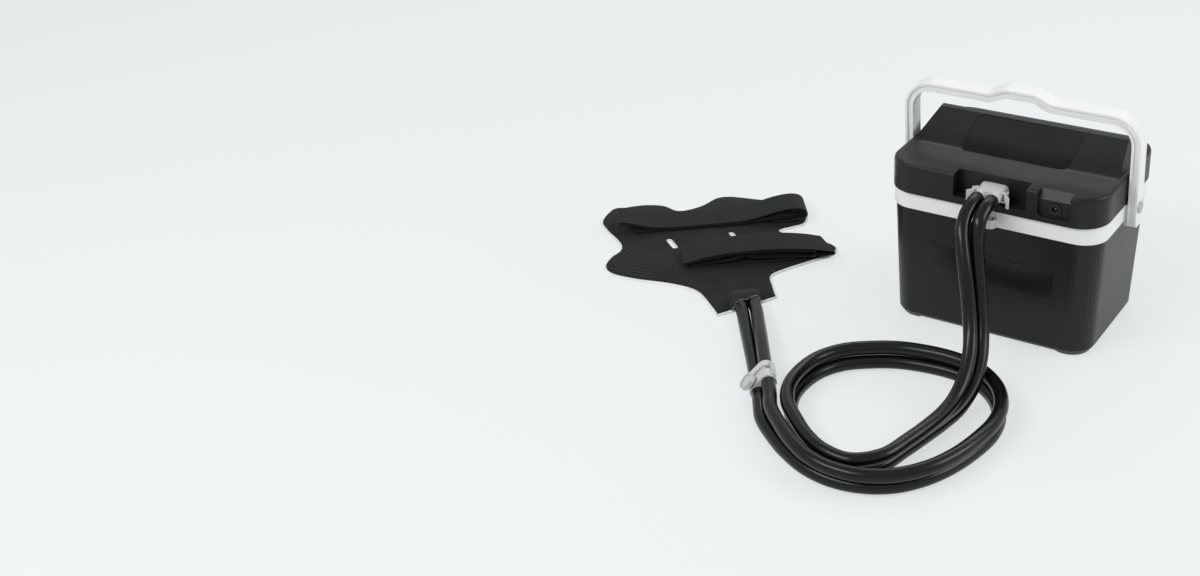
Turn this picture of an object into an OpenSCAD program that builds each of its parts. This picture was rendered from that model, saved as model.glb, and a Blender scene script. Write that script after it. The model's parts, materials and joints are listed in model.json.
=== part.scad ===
// Hot and cold therapy machine: an insulated water tank with a lid that carries the pump,
// a bail handle, a twin hose with a quick coupling, and a flat joint pad with two elastic straps.
// Millimetres. +Z is up, the front faces -Y, and the origin is the centre of the tank's base.

/* [Tank] */
// Width of the tank shell at its top edge
tank_w = 295; // [270:1:310]
// Depth of the tank shell at its top edge
tank_d = 202; // [190:1:215]
// Height of the tank shell
tank_h = 175; // [150:1:200]
// Taper of each side wall, from the top edge to the base
tank_taper = 6; // [2:0.5:8]
// Radius of the upright corners
tank_r = 32; // [24:1:40]
// Wall thickness of the outer shell
shell_wall = 2.5; // [2:0.25:3.5]
// Height of the arches between the corner feet
foot_rise = 4; // [2:0.5:6]
// Length of each corner foot
foot_len = 38; // [30:1:50]
// Clear height under the inner tank's floor
floor_foam = 9; // [6:1:14]
// Wall thickness of the inner tank
liner_wall = 2.5; // [2:0.25:3.5]

/* [Collar] */
// Height of the white collar band
collar_h = 24.7; // [20:0.1:30]
// Amount by which the collar stands proud of the shell on each side
collar_proud = 2.5; // [1.5:0.25:4]
// Width of the collar's outer ledge, which sits on the shell
collar_ledge = 5; // [4:0.5:6]
// Distance from the collar's outer face to the tank mouth
mouth_inset = 15; // [14:0.5:18]

/* [Lid] */
// Amount by which the lid overhangs the collar at the front and back
lid_overhang = 5; // [2:0.25:5]
// Height of the lid's upright rim
lid_rim_h = 42.5; // [38:0.5:50]
// Rise of the hood's ridge above the rim
hood_rise = 29; // [20:1:34]
// Position of the ridge behind the centre
ridge_y = 33; // [20:1:40]
// Slope of the hood's front face
hood_slope = 24; // [21:1:30]
// Wall thickness of the lid cover
lid_wall = 2.5; // [2:0.25:3.5]
// Gap between the closed lid and the collar
lid_gap = 0.3; // [0.2:0.05:0.5]
// Width of the blank plate on the hood
plate_w = 151; // [120:1:160]
// Length of the blank plate along the slope
plate_l = 70; // [50:1:72]

/* [Handle] */
// Gap between each leg and the collar
leg_gap = 3; // [2.5:0.25:6]
// Height of the handle's top above the pivot
handle_rise = 132; // [126:1:145]
// Thickness of the handle, seen from the front
handle_t = 12; // [10:0.5:14]
// Depth of the handle, from front to back
handle_d = 24; // [20:1:28]
// Lean of the upright handle towards the front
handle_lean = 4; // [0:0.5:6]
// Height of the raised grip
grip_rise = 10; // [6:0.5:12]
// Height of the handle pivot above the collar's lower edge
pivot_up = 18.5; // [16:0.5:20]
// Radius of the pivot pin
pin_r = 3.5; // [3:0.25:4]

/* [Ports] */
// Width of the hose pocket in the lid's front
pocket_w = 101; // [90:1:102]
// Depth of the hose pocket
pocket_d = 20; // [16:1:24]
// Height of the hose ports above the lid's lower edge
port_up = 22.5; // [21:0.5:25]
// Distance between the two hose ports
port_gap = 20; // [19.8:0.1:22]
// Distance of the power jack from the centre
jack_x = 88; // [86:1:94]
// Height of the power jack above the lid's lower edge
jack_up = 19; // [17:0.5:22]

/* [Hose] */
// Outer diameter of each insulated hose tube
hose_d = 19; // [17:0.5:19]
// Distance between the centres of the two tubes
hose_pitch = 19.8; // [19.8:0.1:21]
// Length of each half of the inline coupling
coupling_half = 19; // [19:0.5:24]

/* [Pad] */
// Thickness of the pad's pale backing
backing_t = 2; // [1.5:0.25:3]
// Height of the pad's crown above the backing
pad_crown = 4.5; // [4:0.25:6]
// Width of the elastic straps
strap_w = 54; // [40:1:60]
// Thickness of the elastic straps
strap_t = 1.4; // [1.2:0.1:2]

/* [Hidden] */
$fn = 48;

// Clearances that the fits share
fit = 0.05;
seat = 0.3;
loose = 1.5;
eps = 0.01;

// Colours
black_shell = "#26272a";
soft_black = "#2c2d2f";
collar_white = "#f0f0ee";
pale_grey = "#cfcfc8";
steel = "#a8abb0";
foam_colour = "#e9e4cf";

// Tank levels and sizes
base_w = tank_w - 2 * tank_taper;
base_d = tank_d - 2 * tank_taper * 0.75;
base_edge = 6;
base_edge_h = 9;
arch_reach = 16;
shell_floor = foot_rise + shell_wall;
liner_z = shell_floor + floor_foam;
liner_floor = 3;
collar_w = tank_w + 2 * collar_proud;
collar_d = tank_d + 2 * collar_proud;
collar_r = tank_r + collar_proud;
collar_top = tank_h + collar_h;
collar_deck = 5.5;
collar_skirt = 7;
mouth_w = collar_w - 2 * mouth_inset;
mouth_d = collar_d - 2 * mouth_inset;
mouth_r = collar_r - 10;
liner_gap = 1;
liner_w = mouth_w - 2 * liner_gap;
liner_d = mouth_d - 2 * liner_gap;
liner_r = mouth_r - liner_gap;
flange_t = 2.5;
flange_out = 4;
liner_top = collar_top;

// Lid levels and sizes
lid_z = collar_top + lid_gap;
lid_w = collar_w + 2;
lid_d = collar_d + 2 * lid_overhang;
lid_r = collar_r + lid_overhang;
lid_edge = 5;
rim_top = lid_z + lid_rim_h;
ridge_z = rim_top + hood_rise;
ridge_flat = 8;
ridge_half = lid_w / 2 - 18;
side_lean = 0.4;
flare_r = 25;
hood_back_slope = 40;
lid_front = -lid_d / 2;
base_plate_t = 3;
tray_drop = 10;
tray_w = liner_w - 2 * liner_wall - 2 * loose;
tray_d = liner_d - 2 * liner_wall - 2 * loose;
tray_r = liner_r - liner_wall - loose;
gasket_w = 3;
foam_t = 8;
boss_r = 4;
screw_r = 1.5;
screw_x = [-lid_w * 0.365, 0, lid_w * 0.365];
screw_y = [-lid_d * 0.28, lid_d * 0.29];

// Handle
pivot_z = tank_h + pivot_up;
handle_w = collar_w + 2 * (leg_gap + handle_t);
leg_x = handle_w / 2 - handle_t / 2;
bar_z = pivot_z + handle_rise - handle_t / 2;
leg_low = 28;
bail_r = 34;
grip_half = 46;
grip_flat = 16;
groove_w = 5;
groove_deep = 3;
bush_r = 6;
boss_out = handle_w / 2 - handle_t - seat;
pin_head_r = 8;

// Hose pocket, ports and power jack
pocket_floor = lid_z + 10;
pocket_back = lid_front + pocket_d;
port_z = lid_z + port_up;
socket_t = 3;
socket_face = pocket_back - socket_t;
plug_face = socket_face - 31;
plug_h = 18;
spigot_r = 6;
lumen_r = 3;
nipple_r = 5;
nipple_end = pocket_back + 16;
jack_floor = lid_z + 7;
jack_z = lid_z + jack_up;
jack_back = lid_front + 6;
jack_half = 22;
jack_r = 5.6;
latch_x = port_gap / 2 + 12;
latch_y = socket_face - 13;
latch_pin_r = 1.2;
catch_x = 5;
post_r = 8;
post_bore = 5.6;
post_y = -collar_d / 2 - post_r - 0.5;
post_top = collar_top - 8;
post_low = tank_h + 4;
tongue_t = 2.2;

// Pump, hung from the lid into the tank
pump_x = -62;
pump_y = 10;
pump_low = liner_z + liner_floor + 8;
strainer_h = 9;
volute_h = 20;
volute_r = 22;
motor_h = 34;
motor_r = 19;
shaft_r = 2;
impeller_r = 14;
volute_z = pump_low + strainer_h;
motor_z = volute_z + volute_h;
bracket_z = motor_z + motor_h;
tube_r = 5;
outlet_z = volute_z + 12;
supply_drop_x = -port_gap / 2;
return_drop_x = port_gap / 2;
drop_y = -50;
lead_drop = 20;

// Inline coupling, laid on the floor
coupling_pos = [-200.3, -365.2, 19];
coupling_yaw = 125;
coupling_roll = -48;
sleeve_r = hose_d / 2 + 2;
button_x = -9.5;
button_r = 12;
button_out = 21.5;
button_deep = 6.7;
button_travel = 3;
stem_r = 3;
seal_x = [-5.4, -2.6];

// Centre line of the twin hose, and the roll of the pair about it.
// Each row is x, y, z and the roll: 0 lays the tubes side by side, 90 stands one on the other.
hose_route = [
    [0, plug_face, port_z, 0], [0, -128, port_z, 0], [0, -144, 220, 0], [0, -160, 211.5, 3],
    [2, -171.5, 197.5, 8], [6.5, -180, 179, 14], [15, -191, 153, 20], [26, -204, 116, 28],
    [37, -221, 84, 38], [46, -243, 60, 49], [50, -270, 38, 62], [49, -301, 24, 80],
    [45, -335, 19.7, 98], [39, -372, 19.4, 106], [31, -410, 19.3, 108], [19, -455, 19.4, 107],
    [-9, -482, 19.5, 105], [-45, -480, 19.5, 104], [-78, -462, 19.5, 104], [-108, -436, 19.5, 104],
    [-135, -408, 19.5, 104], [-152, -374, 19.5, 104], [-157, -336, 19.5, 104], [-151, -297, 19.5, 105],
    [-132, -265, 19.5, 105], [-104, -243, 19.5, 105], [-71, -226, 19.5, 105], [-32, -217, 19.5, 104],
    [8, -216, 19.6, 102], [47, -226, 19.6, 100], [81, -253, 19.7, 98], [102, -290, 19.7, 96],
    [109, -330, 19.7, 96], [105, -372, 19.7, 98], [95, -414, 19.6, 102], [78, -452, 19.5, 104],
    [52, -484, 19.5, 104], [17, -504, 19.5, 103], [-22, -510, 19.7, 99], [-60, -502, 19.8, 90],
    [-95, -483, 19.6, 78], [-126, -459, 18.9, 65], [-156, -431, 17.9, 54], [-174, -404, 19, 47]
];
pad_route = [[-236, -314, 18.5, 44], [-262, -277, 17, 35], [-288, -240, 14, 24], [-309, -210, 12, 12]];

// Joint pad: outline seen from above, about its own centre
pad_centre = [-470, -40];
pad_outline = [
    [-682, -13], [-674, -55], [-650, -78], [-608, -104], [-592, -125], [-592, -152], [-583, -180],
    [-560, -194], [-518, -191], [-470, -180], [-434, -177], [-410, -184], [-380, -206], [-353, -226],
    [-329, -184], [-304, -140], [-323, -115], [-342, -88], [-336, -64], [-310, -16], [-294, 12], [-300, 38],
    [-336, 46], [-374, 42], [-402, 45], [-392, 63], [-380, 84], [-390, 110], [-420, 127], [-458, 131], [-500, 123], [-534, 114],
    [-552, 98], [-560, 62], [-581, 33], [-612, 37], [-642, 26], [-668, 2]
];
neck_yaw = 126;
neck_len = 62;
neck_r = 10.5;
neck_pos = [-328, -186, 11.5];
slot_a = [-530, -70];
slot_b = [-461, -2];
slot_yaw = -37;
bladder_t = 2;
strap_yaw = 37;
strap_upper_pos = [-517, 20];
strap_lower_pos = [-400, -50];
strap_row_t = 1.4;

// A half turn from one level to the next, at the end of a layer
function fold(x, z0, z1, side) = [
    for (k = [0:4]) [x + side * abs(z1 - z0) / 2 * sin(45 * k), (z0 + z1) / 2 - (z1 - z0) / 2 * cos(45 * k)]
];

// Run of each strap, layer by layer: distance along it and height above the pad, for straps 1.4 thick
strap_upper_run = concat(
    [[84, 1.3], [60, 0.9], [-60, 0.9], [-112, 0.9]], fold(-118, 0.9, 3.4, -1),
    [[-100, 2.9], [-60, 2.5], [40, 2.5], [60, 2.8], [84, 4], [109, 5.6]], fold(130, 6.8, 9.6, 1),
    [[109, 8.6], [84, 6.6], [54, 4.6], [25, 4.1], [-50, 4.1], [-72, 4.6], [-93, 6.6], [-110, 10.8]],
    [[-125, 15.6]], fold(-143, 18.3, 20.9, -1),
    [[-132, 20.1], [-119, 16.3], [-105, 12.1], [-93, 9], [-72, 6.4], [-50, 5.7], [25, 5.8], [54, 6.9]],
    [[78, 11.1], [104, 18.1], [126, 21.5], [141, 20.6], [150, 16.1], [153, 9.5], [149, 3.4], [139, 1.1]],
    [[96, 1]]
);
strap_lower_run = concat(
    [[66, 1.1], [30, 0.9], [-80, 0.9]], fold(-92, 0.9, 3.4, -1),
    [[-80, 3.6], [-55, 5.2], [-32, 7], [-20, 10.9], [-12, 13], [-4, 10.4], [6, 7.2], [23, 6.1], [43, 5.7]],
    [[70, 3.4]], fold(88, 1.9, 10.9, 1),
    [[70, 13.4], [43, 16.6], [20, 17.6], [-2, 18.1], [-24, 17.8], [-50, 15.6], [-77, 11.6]],
    fold(-103, 6.3, 8.9, -1),
    [[-77, 14.5], [-60, 17.2], [-39, 19.6], [-2, 20.3], [36, 19.7], [65, 17.3], [94, 12.9], [108, 9.6]],
    fold(115, 8.2, 2.8, 1), [[104, 1.9], [96, 1.7]]
);

// ---------- shared shapes ----------

module rounded(w, d, r) {
    square([w - 2 * r, d], center = true);
    square([w, d - 2 * r], center = true);
    for (sx = [-1, 1], sy = [-1, 1]) {
        translate([sx * (w / 2 - r), sy * (d / 2 - r)]) circle(r);
    }
}

module slab(w, d, r, z0, z1) {
    translate([0, 0, z0]) linear_extrude(z1 - z0) rounded(w, d, r);
}

module ring(w, d, r, inset, z0, z1) {
    difference() {
        slab(w, d, r, z0, z1);
        slab(w - 2 * inset, d - 2 * inset, r - inset, z0 - 1, z1 + 1);
    }
}

// Points of an outline are given as [y, z] and drawn out along X
module along_x(length) {
    rotate([90, 0, 90]) translate([0, 0, -length / 2]) linear_extrude(length) children();
}

// Points of an outline are given as [x, z] and drawn out along Y, centred
module along_y(length) {
    rotate([90, 0, 0]) translate([0, 0, -length / 2]) linear_extrude(length) children();
}

// A cylinder that points along +Y from y0 to y1
module rod_y(r, y0, y1) {
    translate([0, y0, 0]) rotate([-90, 0, 0]) cylinder(r = r, h = y1 - y0);
}

// A cylinder that points along +X from x0 to x1
module rod_x(r, x0, x1) {
    translate([x0, 0, 0]) rotate([0, 90, 0]) cylinder(r = r, h = x1 - x0);
}

module both_sides() {
    children();
    mirror([1, 0, 0]) children();
}

function unit(v) = v / norm(v);

function arc(c, r, a0, a1, n) = [
    for (i = [0:n]) let (a = a0 + (a1 - a0) * i / n) c + r * [cos(a), sin(a)]
];

function heading(path, i) =
    let (last = len(path) - 1)
    unit(path[min(i + 1, last)] - path[max(i - 1, 0)]);

// A tube of n sides swept along a path: each ring stands square to the path
function ring_points(path, i, r, n) =
    let (
        t = heading(path, i),
        side = norm([t[0], t[1]]) < 0.05 ? [1, 0, 0] : unit(cross(t, [0, 0, 1])),
        up = cross(side, t)
    )
    [for (k = [0:n - 1]) path[i] + r * (side * cos(360 * k / n) + up * sin(360 * k / n))];

module tube_along(path, r, n) {
    m = len(path);
    points = [for (i = [0:m - 1]) each ring_points(path, i, r, n)];
    sides = [
        for (i = [0:m - 2], k = [0:n - 1])
            each [
                [i * n + k, i * n + (k + 1) % n, (i + 1) * n + k],
                [(i + 1) * n + k, i * n + (k + 1) % n, (i + 1) * n + (k + 1) % n]
            ]
    ];
    ends = [
        for (k = [1:n - 2]) each [[0, k + 1, k], [(m - 1) * n, (m - 1) * n + k, (m - 1) * n + k + 1]]
    ];
    polyhedron(points = points, faces = concat(sides, ends), convexity = 6);
}

// One tube of the twin hose: the pair's centre line moved by half the pitch
function pair_line(route, hand, pitch) =
    let (centre = [for (p = route) [p[0], p[1], p[2]]])
    [
        for (i = [0:len(route) - 1])
            let (
                t = heading(centre, i),
                side = unit(cross(t, [0, 0, 1])),
                up = cross(side, t),
                a = route[i][3]
            )
            centre[i] + hand * pitch[i] / 2 * (side * cos(a) + up * sin(a))
    ];

// ---------- tank ----------

module shell_form(inset, z0, z1) {
    hull() {
        in = base_edge + inset;
        up = z0 + base_edge_h;
        slab(base_w - 2 * in, base_d - 2 * in, tank_r - in, z0, z0 + eps);
        slab(base_w - 2 * inset, base_d - 2 * inset, tank_r - inset, up, up + eps);
        slab(tank_w - 2 * inset, tank_d - 2 * inset, tank_r - inset, z1 - eps, z1);
    }
}

function arch(half) = [
    [-half, -1], [-half, 0], [-half + 6, foot_rise], [half - 6, foot_rise], [half, 0], [half, -1]
];

module outer_shell() color(black_shell) {
    difference() {
        shell_form(0, 0, tank_h, $fn = 32);
        shell_form(shell_wall, shell_floor, tank_h + eps, $fn = 32);
        difference() {
            union() {
                along_y(tank_d + 2) polygon(arch(base_w / 2 - foot_len));
                along_x(tank_w + 2) polygon(arch(base_d / 2 - foot_len));
            }
            slab(base_w - 2 * arch_reach, base_d - 2 * arch_reach, tank_r - arch_reach, -2, shell_floor);
        }
    }
}

module foam_liner() color(foam_colour) {
    foam_top = tank_h - collar_skirt - seat;
    difference() {
        intersection() {
            shell_form(shell_wall + seat, shell_floor + seat, tank_h, $fn = 32);
            slab(tank_w, tank_d, tank_r, 0, foam_top);
        }
        slab(liner_w + 2 * seat, liner_d + 2 * seat, liner_r + seat, liner_z - seat, tank_h);
    }
}

module inner_tank() color(collar_white) {
    difference() {
        union() {
            slab(liner_w, liner_d, liner_r, liner_z, liner_top - eps);
            slab(
                liner_w + 2 * flange_out, liner_d + 2 * flange_out, liner_r + flange_out,
                liner_top - flange_t, liner_top
            );
        }
        slab(
            liner_w - 2 * liner_wall, liner_d - 2 * liner_wall, liner_r - liner_wall,
            liner_z + liner_floor, liner_top + 1
        );
    }
}

module collar_band() color(collar_white) {
    rib_inset = collar_proud + shell_wall + 3 * seat;
    difference() {
        union() {
            ring(collar_w, collar_d, collar_r, collar_ledge, tank_h, collar_top);
            ring(collar_w, collar_d, collar_r, mouth_inset, collar_top - collar_deck, collar_top);
            ring(collar_w - 2 * rib_inset, collar_d - 2 * rib_inset, collar_r - rib_inset, 3,
                tank_h - collar_skirt, collar_top - collar_deck + 1);
            ring(mouth_w + 6, mouth_d + 6, mouth_r + 3, 3, tank_h, collar_top);
        }
        slab(liner_w + 2 * flange_out + 2 * seat, liner_d + 2 * flange_out + 2 * seat, liner_r + flange_out + seat,
            collar_top - flange_t, collar_top + 1);
        both_sides() translate([0, 0, pivot_z]) rod_x(pin_r, collar_w / 2 - collar_ledge - 4, collar_w / 2 + 1);
    }
}

module front_label() color(soft_black) {
    label_z = tank_h * 0.6;
    lean = atan(tank_taper * 0.75 / (tank_h - base_edge_h));
    face_y = -tank_d / 2 + (tank_h - label_z) * tan(lean);
    translate([0, face_y, label_z]) rotate([90 + lean, 0, 0]) linear_extrude(0.6) {
        rounded(tank_w * 0.61, tank_h * 0.24, 3);
    }
}

// ---------- handle ----------

module pivot_boss() {
    difference() {
        translate([collar_w / 2, 0, tank_h - collar_skirt]) {
            translate([0, -13, 0]) cube([boss_out - collar_w / 2, 26, collar_h + collar_skirt - 1]);
        }
        translate([0, 0, pivot_z]) rod_x(pin_r, collar_w / 2 - 1, boss_out + 1);
    }
}

module pivot_boss_right() color(collar_white) pivot_boss();

module pivot_boss_left() color(collar_white) mirror([1, 0, 0]) pivot_boss();

module pivot_pins() color(steel) {
    both_sides() translate([0, 0, pivot_z]) {
        rod_x(pin_r, collar_w / 2 - collar_ledge + 1, handle_w / 2 + seat + eps);
        rod_x(pin_head_r, handle_w / 2 + seat, handle_w / 2 + seat + 2);
    }
}

// The grip's rise at a distance x from the middle
function grip(x) =
    let (a = abs(x))
    a <= grip_flat ? grip_rise : a >= grip_half ? 0
        : grip_rise * (1 + cos(180 * (a - grip_flat) / (grip_half - grip_flat))) / 2;

grip_steps = [for (i = [0:24]) -grip_half + 2 * grip_half * i / 24];

bail_line = concat(
    [[-leg_x, pivot_z - leg_low], [-leg_x, bar_z - bail_r - 6]],
    arc([-leg_x + bail_r, bar_z - bail_r], bail_r, 180, 90, 8),
    [for (x = grip_steps) [x, bar_z + grip(x)]],
    arc([leg_x - bail_r, bar_z - bail_r], bail_r, 90, 0, 8),
    [[leg_x, bar_z - bail_r - 6], [leg_x, pivot_z - leg_low]]
);

function edge_line(line, off) = [
    for (i = [0:len(line) - 1]) let (t = heading(line, i)) line[i] + off * [-t[1], t[0]]
];

function ribbon(line, half) =
    let (far = edge_line(line, -half), n = len(line))
    concat(edge_line(line, half), [for (i = [1:n]) far[n - i]]);

module lean_back() {
    translate([0, 0, pivot_z]) rotate([handle_lean, 0, 0]) translate([0, 0, -pivot_z]) children();
}

module handle() color(collar_white) lean_back() {
    low = pivot_z - leg_low;
    high = bar_z + grip_rise + handle_t;
    difference() {
        intersection() {
            along_y(handle_d) polygon(ribbon(bail_line, handle_t / 2));
            along_x(handle_w + 2) translate([0, (low + high) / 2]) rounded(handle_d, high - low, 7);
        }
        for (s = [-1, 1]) {
            translate([0, s * (handle_d / 2), 0]) along_y(2 * groove_deep) polygon(ribbon(bail_line, groove_w / 2));
        }
        translate([0, 0, pivot_z]) rod_x(bush_r, -handle_w / 2 - 1, handle_w / 2 + 1);
    }
    // Plain hubs close the grooves round the bushes
    both_sides() translate([0, 0, pivot_z]) difference() {
        rod_x(handle_d / 2 - 2, handle_w / 2 - handle_t + 1, handle_w / 2 - 1);
        rod_x(bush_r, handle_w / 2 - handle_t - 1, handle_w / 2 + 1);
    }
}

module handle_bushes() color(pale_grey) {
    both_sides() translate([0, 0, pivot_z]) difference() {
        rod_x(bush_r, handle_w / 2 - handle_t, handle_w / 2);
        rod_x(pin_r + fit, handle_w / 2 - handle_t - 1, handle_w / 2 + 1);
    }
}

// ---------- lid ----------

// Hood outline as [y, z]: flare, front slope, ridge and back slope, lowered by drop
function hood_outline(drop) =
    let (
        top = ridge_z - drop,
        low = rim_top - drop,
        front_y = ridge_y - hood_rise / tan(hood_slope),
        back_y = ridge_y + ridge_flat + hood_rise / tan(hood_back_slope),
        front_cut = flare_r * tan(hood_slope / 2),
        back_cut = flare_r * tan(hood_back_slope / 2)
    )
    concat(
        [[front_y - front_cut, low - 5]],
        arc([front_y - front_cut, low + flare_r], flare_r, 270, 270 + hood_slope, 5),
        [[ridge_y - 2, top - 2 * tan(hood_slope)], [ridge_y + 2, top], [ridge_y + ridge_flat - 2, top]],
        [[ridge_y + ridge_flat + 2, top - 2 * tan(hood_back_slope)]],
        arc([back_y + back_cut, low + flare_r], flare_r, 270 - hood_back_slope, 270, 5),
        [[back_y + back_cut, low - 5]]
    );

module hood(drop, narrow) {
    half = ridge_half - narrow;
    low = rim_top - 12;
    spread = side_lean * (ridge_z - low);
    intersection() {
        along_x(lid_w) polygon(hood_outline(drop));
        along_y(lid_d) polygon([
            [-half - spread, low], [half + spread, low], [half, ridge_z], [half - 3, ridge_z + 3],
            [-half + 3, ridge_z + 3], [-half, ridge_z]
        ]);
    }
}

module rim_form(inset, z0) {
    top = rim_top - inset;
    hull() for (a = [0:30:90]) {
        in = inset + lid_edge * (1 - cos(a));
        slab(lid_w - 2 * in, lid_d - 2 * in, lid_r - in, z0, top - lid_edge * (1 - sin(a)) + eps, $fn = 40);
    }
}

module lid_form() {
    rim_form(0, lid_z);
    hood(0, 0);
}

module jack_recess(grow) {
    low = jack_floor - grow;
    back = jack_back + grow;
    translate([jack_x, 0, 0]) intersection() {
        along_x(2 * jack_half + 2 * grow) polygon([
            [lid_front - 5, low], [back, low], [back, lid_z + 30], [back + 9, rim_top + 2],
            [lid_front - 5, rim_top + 2]
        ]);
        along_y(2 * lid_d) translate([0, low + 40]) rounded(2 * (jack_half + grow), 80, 8 + grow);
    }
}

module on_slope() {
    translate([0, ridge_y, ridge_z]) rotate([hood_slope, 0, 0]) children();
}

module plate_outline(grow) {
    translate([0, -plate_l / 2 - 4]) rounded(plate_w + 2 * grow, plate_l + 2 * grow, 12 + grow);
}

module lid_cover() color(black_shell) {
    difference() {
        union() {
            difference() {
                lid_form();
                rim_form(lid_wall, lid_z - 1);
                hood(lid_wall * 1.1, lid_wall * 1.2);
            }
            intersection() {
                lid_form();
                union() {
                    translate([-pocket_w / 2 - lid_wall, lid_front - 1, pocket_floor - lid_wall])
                        cube([pocket_w + 2 * lid_wall, pocket_d + 1 + lid_wall, lid_rim_h]);
                    jack_recess(lid_wall);
                }
            }
            intersection() {
                lid_form();
                for (x = screw_x, y = screw_y) {
                    translate([x, y, lid_z + base_plate_t]) cylinder(r = boss_r, h = lid_rim_h + hood_rise);
                }
            }
        }
        translate([-pocket_w / 2, lid_front - 2, pocket_floor]) cube([pocket_w, pocket_d + 2, lid_rim_h]);
        jack_recess(0);
        for (x = screw_x, y = screw_y) {
            translate([x, y, lid_z + base_plate_t - 1]) cylinder(r = screw_r, h = 13);
        }
        for (s = [-1, 1]) {
            translate([s * port_gap / 2, 0, port_z])
                rod_y(nipple_r + fit, pocket_back - 1, pocket_back + lid_wall + 1);
        }
        translate([jack_x, 0, jack_z]) rod_y(jack_r, jack_back - 1, jack_back + lid_wall + 1);
        on_slope() translate([0, 0, -0.9]) linear_extrude(5) plate_outline(0.8);
    }
}

module lid_plate() color(soft_black) {
    on_slope() translate([0, 0, -0.9]) linear_extrude(0.7) plate_outline(0);
}

module lid_base() color(collar_white) {
    groove_inset = liner_w / 2 + flange_out - gasket_w - 1;
    difference() {
        union() {
            slab(lid_w - 2 * lid_wall - 2 * seat, lid_d - 2 * lid_wall - 2 * seat, lid_r - lid_wall - seat,
                lid_z, lid_z + base_plate_t);
            slab(tray_w, tray_d, tray_r, lid_z - tray_drop, lid_z + eps);
        }
        slab(tray_w - 6, tray_d - 6, tray_r - 3, lid_z - tray_drop - 1, lid_z - 0.5);
        gasket_ring(0.1, lid_z - 1, lid_z + 1.7);
        for (x = screw_x, y = screw_y) {
            translate([x, y, lid_z - tray_drop]) cylinder(r = screw_r, h = tray_drop + base_plate_t + 1);
        }
        for (x = [supply_drop_x, return_drop_x]) {
            translate([x, drop_y, lid_z - 2]) cylinder(r = tube_r + 1, h = base_plate_t + 4);
        }
        translate([pump_x + lead_drop, pump_y, lid_z - 2]) cylinder(r = 3, h = base_plate_t + 4);
    }
}

module gasket_ring(grow, z0, z1) {
    w = liner_w + 2 * flange_out - 2;
    d = liner_d + 2 * flange_out - 2;
    r = liner_r + flange_out - 1;
    difference() {
        slab(w + 2 * grow, d + 2 * grow, r + grow, z0, z1);
        slab(w - 2 * gasket_w - 2 * grow, d - 2 * gasket_w - 2 * grow, r - gasket_w - grow, z0 - 1, z1 + 1);
    }
}

module lid_gasket() color("#3a3b3d") gasket_ring(0, lid_z - 0.2, lid_z + 1.7);

module lid_foam() color(foam_colour) {
    foam_z = lid_z + base_plate_t;
    difference() {
        slab(lid_w - 22, lid_d - 22, lid_r - 11, foam_z, foam_z + foam_t);
        translate([-pocket_w / 2 - 4, lid_front, foam_z - 1]) cube([pocket_w + 8, pocket_d + 20, foam_t + 2]);
        translate([jack_x - jack_half - 4, lid_front, foam_z - 1]) cube([2 * jack_half + 8, 32, foam_t + 2]);
        for (x = screw_x, y = screw_y) {
            translate([x, y, foam_z - 1]) cylinder(r = boss_r + 0.5, h = foam_t + 2);
        }
        translate([-port_gap / 2 - 8, drop_y - 22, foam_z - 1]) cube([port_gap + 16, 31, foam_t + 2]);
        translate([pump_x + lead_drop, pump_y, foam_z - 1]) cylinder(r = 3.5, h = foam_t + 2);
    }
}

module lid_screws() color(steel) {
    for (x = screw_x, y = screw_y) {
        translate([x, y, lid_z - 2.5]) {
            cylinder(r = 3.2, h = 2);
            cylinder(r = screw_r, h = 14);
        }
    }
}

// ---------- front catch ----------

module catch_post() color(pale_grey) {
    difference() {
        union() {
            translate([catch_x, post_y, post_low]) cylinder(r = post_r, h = post_top - post_low);
            translate([catch_x - 4, post_y, post_low + 1])
                cube([8, -collar_d / 2 - post_y, post_top - post_low - 3]);
        }
        translate([catch_x, post_y, post_low + 3]) cylinder(r = post_bore, h = post_top);
    }
}

module catch_tongue() color(pale_grey) {
    translate([catch_x, lid_front - tongue_t / 2, 0]) along_y(tongue_t) polygon([
        [-1.4, post_low + 4], [1.4, post_low + 4], [1.4, post_top + 1.5], [4.5, post_top + 1.5],
        [2.6, lid_z + 1], [0.8, lid_z + 6], [-0.8, lid_z + 6], [-2.6, lid_z + 1],
        [-4.5, post_top + 1.5], [-1.4, post_top + 1.5]
    ]);
}

// ---------- ports on the lid ----------

module port_socket() color(pale_grey) {
    translate([0, 0, port_z]) difference() {
        union() {
            translate([0, socket_face + socket_t / 2, 0]) along_y(socket_t) rounded(port_gap + 19, plug_h, 7);
            for (s = [-1, 1]) {
                translate([s * port_gap / 2, 0, 0]) rod_y(nipple_r, pocket_back - eps, nipple_end);
            }
        }
        for (s = [-1, 1]) {
            translate([s * port_gap / 2, 0, 0]) {
                rod_y(lumen_r, socket_face - 1, nipple_end + 1);
                rod_y(spigot_r + 0.5, socket_face - 1, socket_face + 2.4);
            }
        }
    }
}

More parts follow.
